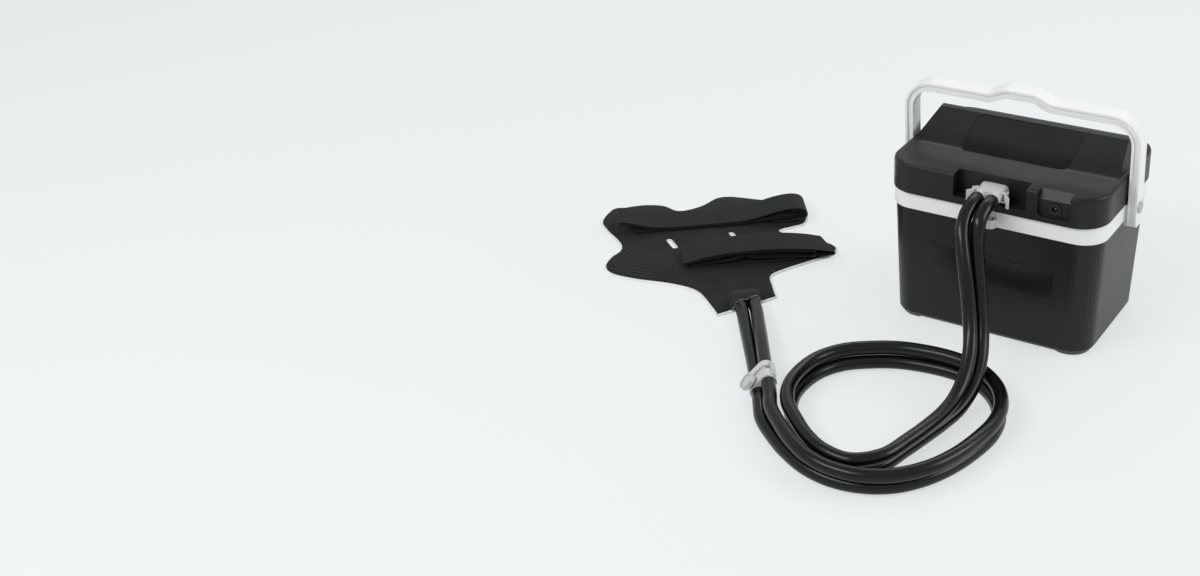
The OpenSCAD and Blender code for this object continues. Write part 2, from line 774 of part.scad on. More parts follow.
module hose_plug() color(pale_grey) {
    waist_y = socket_face - 5;
    nose_r = hose_d / 2 - 1;
    translate([0, 0, port_z]) difference() {
        union() {
            translate([0, socket_face - 2.5, 0]) along_y(4.4) rounded(port_gap + 17, plug_h, 6);
            hull() {
                translate([0, waist_y, 0.5]) along_y(1) rounded(port_gap + 16, plug_h - 1, 6, $fn = 32);
                for (s = [-1, 1]) {
                    translate([s * port_gap / 2, 0, 0]) rod_y(nose_r, plug_face + 6, plug_face + 7, $fn = 32);
                }
            }
            for (s = [-1, 1]) {
                translate([s * port_gap / 2, 0, 0]) {
                    rod_y(nose_r, plug_face, plug_face + 7);
                    rod_y(spigot_r, socket_face - 1, socket_face + 2.2);
                }
            }
            translate([0, (waist_y + plug_face) / 2 + 3, plug_h / 2 - 1.2])
                linear_extrude(1.4) rounded(24, 11, 5);
            both_sides() for (z = [-8, 4.3]) {
                translate([latch_x - 8, latch_y - 3, z]) cube([10.5, 6, 1.8]);
            }
        }
        for (s = [-1, 1]) {
            translate([s * port_gap / 2, 0, 0]) {
                rod_y(lumen_r, plug_face - 1, socket_face + 3);
                difference() {
                    rod_y(spigot_r + 1, socket_face + 0.4, socket_face + 1.6);
                    rod_y(spigot_r - 1, socket_face, socket_face + 2);
                }
            }
        }
        both_sides() translate([latch_x, latch_y, -9]) cylinder(r = latch_pin_r, h = 18);
    }
}

module plug_seals() color("#3a3b3d") {
    for (s = [-1, 1]) {
        translate([s * port_gap / 2, 0, port_z]) difference() {
            rod_y(spigot_r + 0.4, socket_face + 0.5, socket_face + 1.5);
            rod_y(spigot_r - 1 + fit, socket_face, socket_face + 2);
        }
    }
}

module latch_pins() color(steel) {
    both_sides() translate([latch_x, latch_y, port_z - 8.3]) cylinder(r = latch_pin_r, h = 14.7);
}

module latch() {
    translate([latch_x, latch_y, port_z]) difference() {
        union() {
            translate([0, 0, -5.9]) linear_extrude(9.9) polygon([
                [-2.5, 9.5], [0, 9.5], [2, 3], [2.5, -3], [8, -9], [6.5, -11], [-0.5, -5], [-2, -3], [-2, 3]
            ]);
            translate([0, 0, -11.5])
                linear_extrude(15.5) polygon([[8, -9], [6.5, -11], [2.6, -7.7], [4.6, -5.3]]);
        }
        translate([0, 0, -10]) cylinder(r = latch_pin_r + fit, h = 20);
    }
}

module latch_right() color(pale_grey) latch();

module latch_left() color(pale_grey) mirror([1, 0, 0]) latch();

module dc_jack() color("#1c1c1e") {
    translate([jack_x, 0, jack_z]) difference() {
        union() {
            rod_y(8.5, jack_back - 1.5, jack_back);
            rod_y(jack_r - fit, jack_back - 1, jack_back + 13);
        }
        rod_y(4.6, jack_back - 2, jack_back + 1);
        rod_y(3.2, jack_back, jack_back + 10);
    }
}

module dc_jack_nut() color(steel) {
    translate([jack_x, jack_back + lid_wall, jack_z]) rotate([-90, 0, 0]) difference() {
        cylinder(r = 8.5, h = 2.5, $fn = 6);
        translate([0, 0, -1]) cylinder(r = jack_r, h = 5);
    }
}

module dc_jack_pin() color(steel) {
    translate([jack_x, 0, jack_z]) rod_y(1.05, jack_back + 2, jack_back + 10);
}

// ---------- pump, hung under the lid ----------

module pump_bracket() color(collar_white) {
    top = lid_z - 0.5;
    arm = motor_r * 1.26;
    translate([pump_x, pump_y, 0]) difference() {
        union() {
            translate([-arm / 2, -arm / 2, bracket_z]) cube([arm, arm, top - bracket_z]);
            translate([-arm, -arm * 0.8, top - 3]) cube([2 * arm, 1.6 * arm, 3]);
            translate([0, 0, bracket_z - 6]) cylinder(r = motor_r + 3, h = 9);
        }
        translate([0, 0, bracket_z - 7]) cylinder(r = motor_r + 0.1, h = 7);
        translate([-arm / 2 + 3, -arm / 2 + 3, bracket_z + 6]) cube([arm - 6, arm - 6, top - bracket_z - 12]);
        translate([lead_drop, 0, top - 4]) cylinder(r = 3, h = 6);
    }
}

module pump_motor() color(steel) {
    translate([pump_x, pump_y, 0]) difference() {
        translate([0, 0, motor_z]) cylinder(r = motor_r, h = motor_h);
        translate([0, 0, motor_z - 1]) cylinder(r = shaft_r + fit, h = 21);
    }
}

module pump_housing() color(soft_black) {
    difference() {
        union() {
            translate([pump_x, pump_y, volute_z]) cylinder(r = volute_r, h = volute_h);
            translate([pump_x, pump_y, outlet_z]) rod_x(tube_r + 1, 0, volute_r + 14);
        }
        translate([pump_x, pump_y, volute_z + 3]) cylinder(r = impeller_r + 2, h = volute_h - 6);
        translate([pump_x, pump_y, volute_z - 1]) cylinder(r = 6, h = 6);
        translate([pump_x, pump_y, motor_z - 5]) cylinder(r = shaft_r + 0.5, h = 7);
        translate([pump_x, pump_y, outlet_z]) rod_x(lumen_r, impeller_r - 2, volute_r + 20);
    }
}

module pump_strainer() color(soft_black) {
    translate([pump_x, pump_y, pump_low]) difference() {
        cylinder(r = volute_r, h = strainer_h);
        translate([0, 0, 2]) cylinder(r = volute_r - 2.5, h = strainer_h);
        for (a = [0:30:330]) {
            rotate([0, 0, a]) translate([volute_r - 6, -2, 2]) cube([10, 4, 4]);
        }
    }
}

module pump_rotor() color("#8f9296") {
    disc_z = volute_z + 5;
    translate([pump_x, pump_y, 0]) {
        translate([0, 0, disc_z]) cylinder(r = impeller_r, h = 2);
        translate([0, 0, disc_z + 1]) cylinder(r = 4, h = 7);
        translate([0, 0, disc_z + 7]) cylinder(r = shaft_r, h = motor_z + 18 - disc_z - 7);
        for (a = [0:60:300]) {
            rotate([0, 0, a]) translate([3, -0.8, disc_z + 1]) cube([impeller_r - 4, 1.6, 6]);
        }
    }
}

supply_line = [
    [supply_drop_x, nipple_end, port_z], [supply_drop_x, nipple_end + 8, port_z],
    [supply_drop_x, drop_y - 4, port_z - 3], [supply_drop_x, drop_y, port_z - 12],
    [supply_drop_x, drop_y, lid_z - 2], [supply_drop_x, drop_y, 90],
    [supply_drop_x, drop_y + 8, 68], [supply_drop_x - 2, drop_y + 34, outlet_z + 8],
    [supply_drop_x - 4, pump_y - 10, outlet_z + 1], [supply_drop_x - 7, pump_y - 1, outlet_z],
    [pump_x + volute_r + 18, pump_y, outlet_z], [pump_x + volute_r + 14, pump_y, outlet_z]
];
return_line = [
    [return_drop_x, nipple_end, port_z], [return_drop_x, nipple_end + 8, port_z],
    [return_drop_x, drop_y - 4, port_z - 3], [return_drop_x, drop_y, port_z - 12],
    [return_drop_x, drop_y, lid_z - 2], [return_drop_x, drop_y, lid_z - 44]
];
lead_line = [
    [jack_x, jack_back + 13, jack_z], [jack_x, jack_back + 20, jack_z], [jack_x - 22, -74, lid_z + 15],
    [20, -28, lid_z + 15], [pump_x + lead_drop + 9, pump_y - 4, lid_z + 15],
    [pump_x + lead_drop, pump_y, lid_z + 13], [pump_x + lead_drop, pump_y, lid_z - 8],
    [pump_x + lead_drop + 5, pump_y, 150],
    [pump_x + lead_drop + 5, pump_y, motor_z + 20], [pump_x + motor_r + 1, pump_y, motor_z + 12]
];

module supply_tube() color("#dfe3e4") tube_along(supply_line, tube_r, 10);

module return_tube() color("#dfe3e4") tube_along(return_line, tube_r, 10);

module power_lead() color(soft_black) tube_along(lead_line, 1.6, 8);

module tube_clamps() color(steel) {
    for (x = [supply_drop_x, return_drop_x]) {
        translate([x, drop_y, lid_z + base_plate_t + 1]) difference() {
            cylinder(r = tube_r + 2, h = 4);
            translate([0, 0, -1]) cylinder(r = tube_r + seat, h = 6);
        }
    }
}

// ---------- twin hose and inline coupling ----------

module in_coupling() {
    translate(coupling_pos) rotate([0, 0, coupling_yaw]) rotate([coupling_roll, 0, 0]) children();
}

// Pitch of the pair at each point: it opens out to the port spacing at the lid
hose_pitches = [for (i = [0:len(hose_route) - 1]) i < 3 ? port_gap : hose_pitch];

// The last point meets the coupling's end face
function coupling_point(x, y) =
    let (
        c = cos(coupling_yaw),
        s = sin(coupling_yaw),
        q = [x, y * cos(coupling_roll), y * sin(coupling_roll)]
    )
    coupling_pos + [q[0] * c - q[1] * s, q[0] * s + q[1] * c, q[2]];

function main_line(hand) =
    let (y = -hand * hose_pitch / 2)
    concat(
        pair_line(hose_route, hand, hose_pitches),
        [coupling_point(-coupling_half - 8, y), coupling_point(-coupling_half, y)]
    );

function neck_point(back, y) =
    neck_pos + [-back * cos(neck_yaw) - y * sin(neck_yaw), -back * sin(neck_yaw) + y * cos(neck_yaw), 0];

function pad_line(hand) =
    let (y = -hand * hose_pitch / 2)
    concat(
        [coupling_point(coupling_half, y), coupling_point(coupling_half + 8, y)],
        pair_line(pad_route, hand, [for (p = pad_route) hose_pitch]),
        [neck_point(9, y), neck_point(0, y)]
    );

module hose_supply() color(soft_black) tube_along(main_line(1), hose_d / 2, 10);

module hose_return() color(soft_black) tube_along(main_line(-1), hose_d / 2, 10);

module pad_hose_supply() color(soft_black) tube_along(pad_line(1), hose_d / 2, 10);

module pad_hose_return() color(soft_black) tube_along(pad_line(-1), hose_d / 2, 10);

// A rod in the coupling's own frame, along +X
module lumen_rods(r, x0, x1) {
    for (s = [-1, 1]) translate([0, s * hose_pitch / 2, 0]) rod_x(r, x0, x1);
}

module coupling_shell(x0, x1) {
    hull() for (s = [-1, 1]) translate([0, s * hose_pitch / 2, 0]) rod_x(sleeve_r, x0, x1, $fn = 32);
}

module coupling_box_half() color(pale_grey) in_coupling() difference() {
    union() {
        coupling_shell(-coupling_half, -1);
        translate([-2, -17, -9]) cube([2, 34, 18]);
        translate([-coupling_half + 4, -sleeve_r - hose_pitch / 2 - 1.5, -4])
            cube([coupling_half + 12, 1.5, 8]);
        translate([-coupling_half + 4, -sleeve_r - hose_pitch / 2 - 0.5, -4]) cube([6, 4, 8]);
    }
    lumen_rods(lumen_r, -coupling_half - 1, 1);
    lumen_rods(spigot_r, -7, 1);
    translate([button_x, hose_pitch / 2, button_out - button_deep - button_travel - 5.2])
        cylinder(r = stem_r + fit, h = 12);
}

module coupling_pad_half() color(pale_grey) in_coupling() difference() {
    union() {
        coupling_shell(7, coupling_half);
        translate([0, -15, -8]) cube([8, 30, 16]);
        lumen_rods(spigot_r - 0.1, -6.5, 1);
    }
    lumen_rods(lumen_r, -7, coupling_half + 1);
    translate([6, -sleeve_r - hose_pitch / 2 - 2, -4.5]) cube([6.5, 3, 9]);
    for (x = seal_x) {
        difference() {
            lumen_rods(spigot_r + 1, x, x + 1.4);
            lumen_rods(spigot_r - 1, x - 1, x + 3);
        }
    }
}

module coupling_seals() color("#3a3b3d") in_coupling() {
    for (x = seal_x) {
        difference() {
            lumen_rods(spigot_r - 0.05, x + 0.1, x + 1.3);
            lumen_rods(spigot_r - 1 + fit, x - 1, x + 2);
        }
    }
}

module coupling_button() color(pale_grey) in_coupling() translate([button_x, hose_pitch / 2, 0]) difference() {
    union() {
        translate([0, 0, button_out - button_deep]) cylinder(r = button_r, h = button_deep);
        translate([0, 0, button_out - button_deep - 5]) cylinder(r = stem_r, h = 6);
    }
    translate([0, 0, button_out - 2]) cylinder(r = button_r - 1.8, h = 4);
}

// ---------- joint pad and straps ----------

// A closed outline drawn as a smooth curve through its points, with k steps from each point to the next
function smooth_ring(points, k) =
    let (n = len(points))
    [
        for (i = [0:n - 1], j = [0:k - 1])
            let (
                p0 = points[(i + n - 1) % n], p1 = points[i],
                p2 = points[(i + 1) % n], p3 = points[(i + 2) % n],
                t = j / k
            )
            (2 * p1 + (p2 - p0) * t + (2 * p0 - 5 * p1 + 4 * p2 - p3) * t * t
                + (3 * p1 - p0 - 3 * p2 + p3) * t * t * t) / 2
    ];

pad_ring = smooth_ring(pad_outline, 2);

function shrink(points, s) = [for (p = points) pad_centre + s * (p - pad_centre)];

module pad_layer(s, z0, z1) {
    translate([0, 0, z0]) linear_extrude(z1 - z0) polygon(shrink(pad_ring, s));
}

// Share of the outline and share of the crown at each sewn ring, from the rim to the middle
pad_steps = [
    [0.985, 0.1], [0.972, 0.34], [0.945, 0.56], [0.9, 0.7], [0.86, 0.62], [0.82, 0.8],
    [0.74, 0.9], [0.69, 0.8], [0.64, 0.94], [0.54, 0.98], [0.49, 0.88], [0.44, 1], [0.28, 1]
];

module pad_form() {
    n = len(pad_ring);
    m = len(pad_steps);
    rings = [
        for (step = pad_steps)
            each [for (p = shrink(pad_ring, step[0])) [p[0], p[1], backing_t + pad_crown * step[1]]]
    ];
    foot = [for (p = shrink(pad_ring, pad_steps[0][0])) [p[0], p[1], backing_t]];
    top = [pad_centre[0], pad_centre[1], backing_t + pad_crown];
    under = [pad_centre[0], pad_centre[1], backing_t];
    points = concat(foot, rings, [top, under]);
    walls = [
        for (i = [0:m - 1], k = [0:n - 1])
            each [
                [i * n + k, (i + 1) * n + k, i * n + (k + 1) % n],
                [(i + 1) * n + k, (i + 1) * n + (k + 1) % n, i * n + (k + 1) % n]
            ]
    ];
    crown = [for (k = [0:n - 1]) [m * n + k, (m + 1) * n, m * n + (k + 1) % n]];
    base = [for (k = [0:n - 1]) [k, (k + 1) % n, (m + 1) * n + 1]];
    polyhedron(points = points, faces = concat(walls, crown, base), convexity = 8);
}

module slot(pos, length, width) {
    translate([pos[0], pos[1], -1]) rotate([0, 0, slot_yaw]) linear_extrude(pad_crown + 8) {
        square([length - width, width], center = true);
        for (s = [-1, 1]) translate([s * (length - width) / 2, 0]) circle(width / 2);
    }
}

module pad_slots(grow) {
    slot(slot_a, 36 + 2 * grow, 9 + 2 * grow);
    slot(slot_b, 22 + 2 * grow, 8 + 2 * grow);
}

module neck_bulge(r, len) {
    hull() for (s = [-1, 1]) {
        translate(neck_pos) rotate([0, 0, neck_yaw]) {
            translate([0, s * hose_pitch / 2, 0]) rod_x(r, 0, len / 2, $fn = 24);
            translate([0, s * hose_pitch / 2, -r + 4]) rod_x(4, 0, len, $fn = 24);
        }
    }
}

module pad_backing() color("#e8e8e4") difference() {
    pad_layer(1, 0, backing_t);
    pad_slots(0);
}

module pad_bladder() color("#9aa4ac") difference() {
    pad_layer(0.7, backing_t, backing_t + bladder_t);
    pad_slots(4);
}

module pad_cover() color(soft_black) difference() {
    union() {
        pad_form();
        intersection() {
            neck_bulge(neck_r, neck_len);
            translate([neck_pos[0] - 3 * neck_len, neck_pos[1] - 3 * neck_len, backing_t])
                cube([6 * neck_len, 6 * neck_len, 3 * neck_r]);
        }
    }
    difference() {
        pad_layer(0.705, backing_t - 1, backing_t + bladder_t + 0.2);
        pad_slots(3.8);
    }
    pad_slots(0);
}

// A strap folded back and forth and laid on the pad
module folded_strap(pos, run) {
    lift = strap_t / strap_row_t;
    translate([pos[0], pos[1], backing_t + pad_crown]) rotate([0, 0, strap_yaw]) {
        along_y(strap_w) polygon(ribbon([for (p = run) [p[0], p[1] * lift]], strap_t / 2));
    }
}

module strap_upper() color("#363637") folded_strap(strap_upper_pos, strap_upper_run);

module strap_lower() color("#363637") folded_strap(strap_lower_pos, strap_lower_run);

outer_shell();
foam_liner();
inner_tank();
collar_band();
front_label();
pivot_boss_left();
pivot_boss_right();
pivot_pins();
catch_post();
handle();
handle_bushes();
lid_cover();
lid_plate();
lid_base();
lid_foam();
lid_gasket();
lid_screws();
catch_tongue();
port_socket();
dc_jack();
dc_jack_nut();
dc_jack_pin();
power_lead();
pump_bracket();
pump_motor();
pump_housing();
pump_strainer();
pump_rotor();
supply_tube();
return_tube();
tube_clamps();
hose_plug();
plug_seals();
latch_pins();
latch_left();
latch_right();
hose_supply();
hose_return();
coupling_box_half();
coupling_pad_half();
coupling_seals();
coupling_button();
pad_hose_supply();
pad_hose_return();
pad_backing();
pad_bladder();
pad_cover();
strap_upper();
strap_lower();
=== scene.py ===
"""Dresses the therapy tank, its twin hose, coupling, joint pad and straps in their real finishes."""

import json
import math

import bpy
import numpy as np
from mathutils import Matrix, Vector, noise
from mathutils.geometry import delaunay_2d_cdt


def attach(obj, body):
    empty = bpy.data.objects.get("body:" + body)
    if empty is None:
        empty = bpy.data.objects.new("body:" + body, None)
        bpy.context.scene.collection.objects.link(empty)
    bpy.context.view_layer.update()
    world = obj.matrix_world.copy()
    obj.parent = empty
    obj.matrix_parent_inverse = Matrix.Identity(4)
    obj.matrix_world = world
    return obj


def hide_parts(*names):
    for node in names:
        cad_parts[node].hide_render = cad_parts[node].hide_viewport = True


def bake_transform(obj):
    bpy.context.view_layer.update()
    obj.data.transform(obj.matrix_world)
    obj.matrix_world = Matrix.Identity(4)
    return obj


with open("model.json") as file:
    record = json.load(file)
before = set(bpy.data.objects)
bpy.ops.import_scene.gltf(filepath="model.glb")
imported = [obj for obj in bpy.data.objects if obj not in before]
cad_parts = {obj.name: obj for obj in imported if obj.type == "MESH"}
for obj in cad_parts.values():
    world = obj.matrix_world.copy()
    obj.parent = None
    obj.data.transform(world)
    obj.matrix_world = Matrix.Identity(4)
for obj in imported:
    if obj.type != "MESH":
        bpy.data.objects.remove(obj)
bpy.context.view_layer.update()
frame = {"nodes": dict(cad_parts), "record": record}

# The pieces' sizes are in millimetres. The camera, floor and lights are in metres.
MM = 0.001
studio = bpy.context.scene


# ---------- camera ----------

SENSOR_WIDTH = 36
FOCAL_LENGTH = 50.7
CAMERA_PLACE = (0.7671, -2.0011, 1.2359)
CAMERA_TURN = (
    (0.82171, -0.22783, 0.52238),
    (0.56566, 0.43775, -0.69886),
    (-0.06945, 0.86975, 0.48858),
)


def place_camera():
    """The camera of the photograph, as solved from the tank's edges."""
    lens = bpy.data.cameras.new("studio_camera")
    lens.sensor_width = SENSOR_WIDTH
    lens.lens = FOCAL_LENGTH
    lens.clip_end = 30
    camera = bpy.data.objects.new("studio_camera", lens)
    studio.collection.objects.link(camera)
    camera.matrix_world = Matrix.Translation(CAMERA_PLACE) @ Matrix(CAMERA_TURN).to_4x4()
    studio.camera = camera


place_camera()


# ---------- the four hose tubes ----------

HOSE = 19.0
HOSE_SIDES = 32
PITCH = 19.8
PORT_GAP = 20.0
PORT_STATIONS = 3
STRAIGHT_END = 8
COUPLING = (-200.3, -365.2, 19)
COUPLING_YAW = math.radians(125)
COUPLING_ROLL = math.radians(-48)
COUPLING_HALF = 19
NECK = (-328, -186, 11.5)
NECK_YAW = math.radians(126)
NECK_RUN = 9

# Centre line of the pair in millimetres, and its roll in degrees
HOSE_ROUTE = [
    (0, -122.5, 222.5, 0), (0, -128, 222.5, 0), (0, -144, 220, 0), (0, -160, 211.5, 3),
    (2, -171.5, 197.5, 8), (6.5, -180, 179, 14), (15, -191, 153, 20), (26, -204, 116, 28),
    (37, -221, 84, 38), (46, -243, 60, 49), (50, -270, 38, 62), (49, -301, 24, 80),
    (45, -335, 19.7, 98), (39, -372, 19.4, 106), (31, -410, 19.3, 108), (19, -455, 19.4, 107),
    (-9, -482, 19.5, 105), (-45, -480, 19.5, 104), (-78, -462, 19.5, 104), (-108, -436, 19.5, 104),
    (-135, -408, 19.5, 104), (-152, -374, 19.5, 104), (-157, -336, 19.5, 104), (-151, -297, 19.5, 105),
    (-132, -265, 19.5, 105), (-104, -243, 19.5, 105), (-71, -226, 19.5, 105), (-32, -217, 19.5, 104),
    (8, -216, 19.6, 102), (47, -226, 19.6, 100), (81, -253, 19.7, 98), (102, -290, 19.7, 96),
    (109, -330, 19.7, 96), (105, -372, 19.7, 98), (95, -414, 19.6, 102), (78, -452, 19.5, 104),
    (52, -484, 19.5, 104), (17, -504, 19.5, 103), (-22, -510, 19.7, 99), (-60, -502, 19.8, 90),
    (-95, -483, 19.6, 78), (-126, -459, 18.9, 65), (-156, -431, 17.9, 54), (-174, -404, 19, 47),
]
PAD_ROUTE = [(-236, -314, 18.5, 44), (-262, -277, 17, 35), (-288, -240, 14, 24), (-309, -210, 12, 12)]


def heading(points, i):
    """The direction of a line at one of its points."""
    return (points[min(i + 1, len(points) - 1)] - points[max(i - 1, 0)]).normalized()


def one_of_pair(route, hand, pitches):
    """The line of one tube, beside the centre line of its pair."""
    centre = [Vector(p[:3]) for p in route]
    line = []
    for i, (point, (_, _, _, roll)) in enumerate(zip(centre, route)):
        along = heading(centre, i)
        side = along.cross(Vector((0, 0, 1))).normalized()
        up = side.cross(along)
        turn = math.radians(roll)
        line.append(point + hand * pitches[i] / 2 * (side * math.cos(turn) + up * math.sin(turn)))
    return line


def on_coupling(x, y, z=0.0):
    """A point given in the coupling's own frame, in the row frame, in millimetres."""
    lifted = Vector((x, y * math.cos(COUPLING_ROLL) - z * math.sin(COUPLING_ROLL),
                     y * math.sin(COUPLING_ROLL) + z * math.cos(COUPLING_ROLL)))
    return Vector(COUPLING) + Matrix.Rotation(COUPLING_YAW, 3, "Z") @ lifted


def main_line(hand):
    """One tube of the main hose, from its port to the coupling."""
    pitches = [PORT_GAP if i < PORT_STATIONS else PITCH for i in range(len(HOSE_ROUTE))]
    beside = -hand * PITCH / 2
    ends = [on_coupling(-COUPLING_HALF - STRAIGHT_END, beside), on_coupling(-COUPLING_HALF, beside)]
    return one_of_pair(HOSE_ROUTE, hand, pitches) + ends


def pad_line(hand):
    """One tube of the pad's hose, from the coupling to its end under the cover."""
    beside = -hand * PITCH / 2
    starts = [on_coupling(COUPLING_HALF, beside), on_coupling(COUPLING_HALF + STRAIGHT_END, beside)]
    into = Vector((math.cos(NECK_YAW), math.sin(NECK_YAW), 0))
    foot = Vector(NECK) - hand * PITCH / 2 * Vector((-into.y, into.x, 0))
    return starts + one_of_pair(PAD_ROUTE, hand, [PITCH] * len(PAD_ROUTE)) + [foot - NECK_RUN * into, foot]


def between(a, b, c, d, share):
    """The point at a share of the way from b to c, on the smooth curve through all four."""
    return (2 * b + (c - a) * share + (2 * a - 5 * b + 4 * c - d) * share * share
            + (3 * b - a - 3 * c + d) * share ** 3) / 2


def smooth_line(points, steps=9):
    """A smooth curve through the points, with evenly spread steps between them."""
    ghost = [2 * points[0] - points[1]] + points + [2 * points[-1] - points[-2]]
    curve = []
    for a, b, c, d in zip(ghost, ghost[1:], ghost[2:], ghost[3:]):
        curve += [between(a, b, c, d, k / steps) for k in range(steps)]
    return curve + [points[-1]]


def run_of(line):
    return sum((b - a).length for a, b in zip(line, line[1:]))


def add_mesh(name, points, faces, strips=None):
    """A mesh object from points in metres. strips gives each corner its place on the surface."""
    mesh = bpy.data.meshes.new(name)
    mesh.from_pydata(points, [], faces)
    if strips:
        sheet = mesh.uv_layers.new(name="surface")
        for loop in mesh.loops:
            sheet.data[loop.index].uv = strips[loop.vertex_index]
    mesh.validate()
    piece = bpy.data.objects.new(name, mesh)
    studio.collection.objects.link(piece)
    return piece


def only(piece):
    bpy.ops.object.select_all(action="DESELECT")
    piece.select_set(True)
    bpy.context.view_layer.objects.active = piece


def face_outwards(piece, merge=0.0):
    """Turns the faces of a closed piece outwards, once points nearer than merge are joined."""
    only(piece)
    bpy.ops.object.mode_set(mode="EDIT")
    bpy.ops.mesh.select_all(action="SELECT")
    if merge:
        bpy.ops.mesh.remove_doubles(threshold=merge)
    bpy.ops.mesh.normals_make_consistent(inside=False)
    bpy.ops.object.mode_set(mode="OBJECT")


def smooth_shade(piece, degrees):
    only(piece)
    bpy.ops.object.shade_smooth_by_angle(angle=math.radians(degrees))


def lay_tube(name, line):
    """A round tube swept along a line in millimetres, with its length run along the surface map."""
    points, places, faces = [], [], []
    run = 0.0
    side = heading(line, 0).cross(Vector((0, 0, 1))).normalized()
    for i, centre in enumerate(line):
        along = heading(line, i)
        side = (side - side.dot(along) * along).normalized()
        up = side.cross(along)
        run += (centre - line[i - 1]).length if i else 0
        for k in range(HOSE_SIDES + 1):
            turn = 2 * math.pi * k / HOSE_SIDES
            points.append((centre + HOSE / 2 * (side * math.cos(turn) + up * math.sin(turn))) * MM)
            places.append((k / HOSE_SIDES, run * MM))
    ring = HOSE_SIDES + 1
    for i in range(len(line) - 1):
        for k in range(HOSE_SIDES):
            a = i * ring + k
            faces.append((a, a + 1, a + ring + 1, a + ring))
    faces.append(tuple(reversed(range(HOSE_SIDES))))
    last = (len(line) - 1) * ring
    faces.append(tuple(last + k for k in range(HOSE_SIDES)))
    piece = add_mesh(name, points, faces, places)
    face_outwards(piece, merge=0.01 * MM)
    smooth_shade(piece, 50)
    return piece


tubes = {}
for name, node, line, far_end, mates in (
    ("hose_tube_supply", "hose_supply", smooth_line(main_line(1)), "connector", ["coupling_box_half"]),
    ("hose_tube_return", "hose_return", smooth_line(main_line(-1)), "connector", ["coupling_box_half"]),
    ("pad_tube_supply", "pad_hose_supply", smooth_line(pad_line(1)), "object", []),
    ("pad_tube_return", "pad_hose_return", smooth_line(pad_line(-1)), "object", []),
):
    tube = lay_tube(name, line)
    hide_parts(node)
    line[0] * MM
    run_of(line) * MM
    [p * MM for p in line]
    tubes[name] = tube


# ---------- joint pad ----------

BACKING = 2.0
CROWN = 4.5
PAD_TOP = BACKING + CROWN
PAD_CENTRE = np.array((-470.0, -40.0))
PAD_OUTLINE = (
    (-682, -13), (-674, -55), (-650, -78), (-608, -104), (-592, -125), (-592, -152), (-583, -180),
    (-560, -194), (-518, -191), (-470, -180), (-434, -177), (-410, -184), (-380, -206), (-356, -225),
    (-329, -184), (-305, -138), (-323, -115), (-342, -88), (-336, -64), (-310, -16), (-294, 12), (-300, 38),
    (-336, 46), (-374, 42), (-402, 45), (-392, 63), (-380, 84), (-390, 110), (-420, 127), (-458, 131),
    (-500, 123), (-534, 114), (-552, 98), (-560, 62), (-581, 33), (-612, 37), (-642, 26), (-668, 2),
)
TAIL_CORNERS = (13, 15)
# Each slot's middle, length and width
SLOTS = (((-530, -70), 36, 9), ((-461, -2), 22, 8))
SLOT_YAW = math.radians(-37)
SLOT_STEPS = 8


def round_outline(points, steps, sharp=()):
    """A closed smooth curve through the points. The sharp ones stay corners."""
    count = len(points)
    row = [Vector(p) for p in points]
    curve = []
    for i in range(count):
        b, c = row[i], row[(i + 1) % count]
        a = 2 * b - c if i in sharp else row[i - 1]
        d = 2 * c - b if (i + 1) % count in sharp else row[(i + 2) % count]
        curve += [between(a, b, c, d, k / steps) for k in range(steps)]
    return np.array([tuple(p) for p in curve])


def drawn_in(ring, distance):
    """The outline moved inwards by a distance, for a ring that runs anticlockwise."""
    along = np.roll(ring, -1, axis=0) - np.roll(ring, 1, axis=0)
    along /= np.linalg.norm(along, axis=1)[:, None]
    return ring + distance * np.stack((-along[:, 1], along[:, 0]), axis=1)


def slot_ring(place, length, width, grow):
    """The rounded outline of a slot, made wider all round by grow."""
    radius = width / 2 + grow
    straight = (length - width) / 2
    ring = []
    for end, start in ((1, -90), (-1, 90)):
        for k in range(SLOT_STEPS + 1):
            turn = math.radians(start + 180 * k / SLOT_STEPS)
            ring.append((end * straight + radius * math.cos(turn), radius * math.sin(turn)))
    cos, sin = math.cos(SLOT_YAW), math.sin(SLOT_YAW)
    return np.array([(place[0] + x * cos - y * sin, place[1] + x * sin + y * cos) for x, y in ring])


def inside(points, ring):
    """Which points lie inside a closed ring."""
    x, y = points[:, 0], points[:, 1]
    crossed = np.zeros(len(points), dtype=bool)
    for (x0, y0), (x1, y1) in zip(ring, np.roll(ring, -1, axis=0)):
        if y0 != y1:
            over = (y0 > y) != (y1 > y)
            crossed ^= over & (x < (x1 - x0) * (y - y0) / (y1 - y0) + x0)
    return crossed


def distance_to(points, ring):
    """Distance of each point from a closed ring."""
    nearest = np.full(len(points), 1e9)
    for a, b in zip(ring, np.roll(ring, -1, axis=0)):
        edge = b - a
        share = np.clip(((points - a) @ edge) / max(edge @ edge, 1e-9), 0, 1)
        nearest = np.minimum(nearest, np.linalg.norm(points - a - share[:, None] * edge, axis=1))
    return nearest


def fill_outline(ring, holes, spacing):
    """An even net of triangles inside the ring and outside the holes: its points and its triangles."""
    low, high = ring.min(axis=0), ring.max(axis=0)
    rows = np.arange(low[1], high[1], spacing * 0.866)
    net = np.array([(x + (spacing / 2 if i % 2 else 0), y) for i, y in enumerate(rows)
                    for x in np.arange(low[0], high[0], spacing)])
    keep = inside(net, ring) & (distance_to(net, ring) > spacing * 0.55)
    for hole in holes:
        keep &= ~inside(net, hole) & (distance_to(net, hole) > spacing * 0.5)
    loops = [ring, *holes]
    edges = []
    start = 0
    for loop in loops:
        edges += [(start + k, start + (k + 1) % len(loop)) for k in range(len(loop))]
        start += len(loop)
    points = np.concatenate([*loops, net[keep]])
    found = delaunay_2d_cdt([Vector(p) for p in points], edges, [], 1, 1e-6)
    points = np.array([tuple(p) for p in found[0]])
    triangles = np.array([tuple(f) for f in found[2]])
    middles = points[triangles].mean(axis=1)
    keep = inside(middles, ring)
    for hole in holes:
        keep &= ~inside(middles, hole)
    return points, triangles[keep]


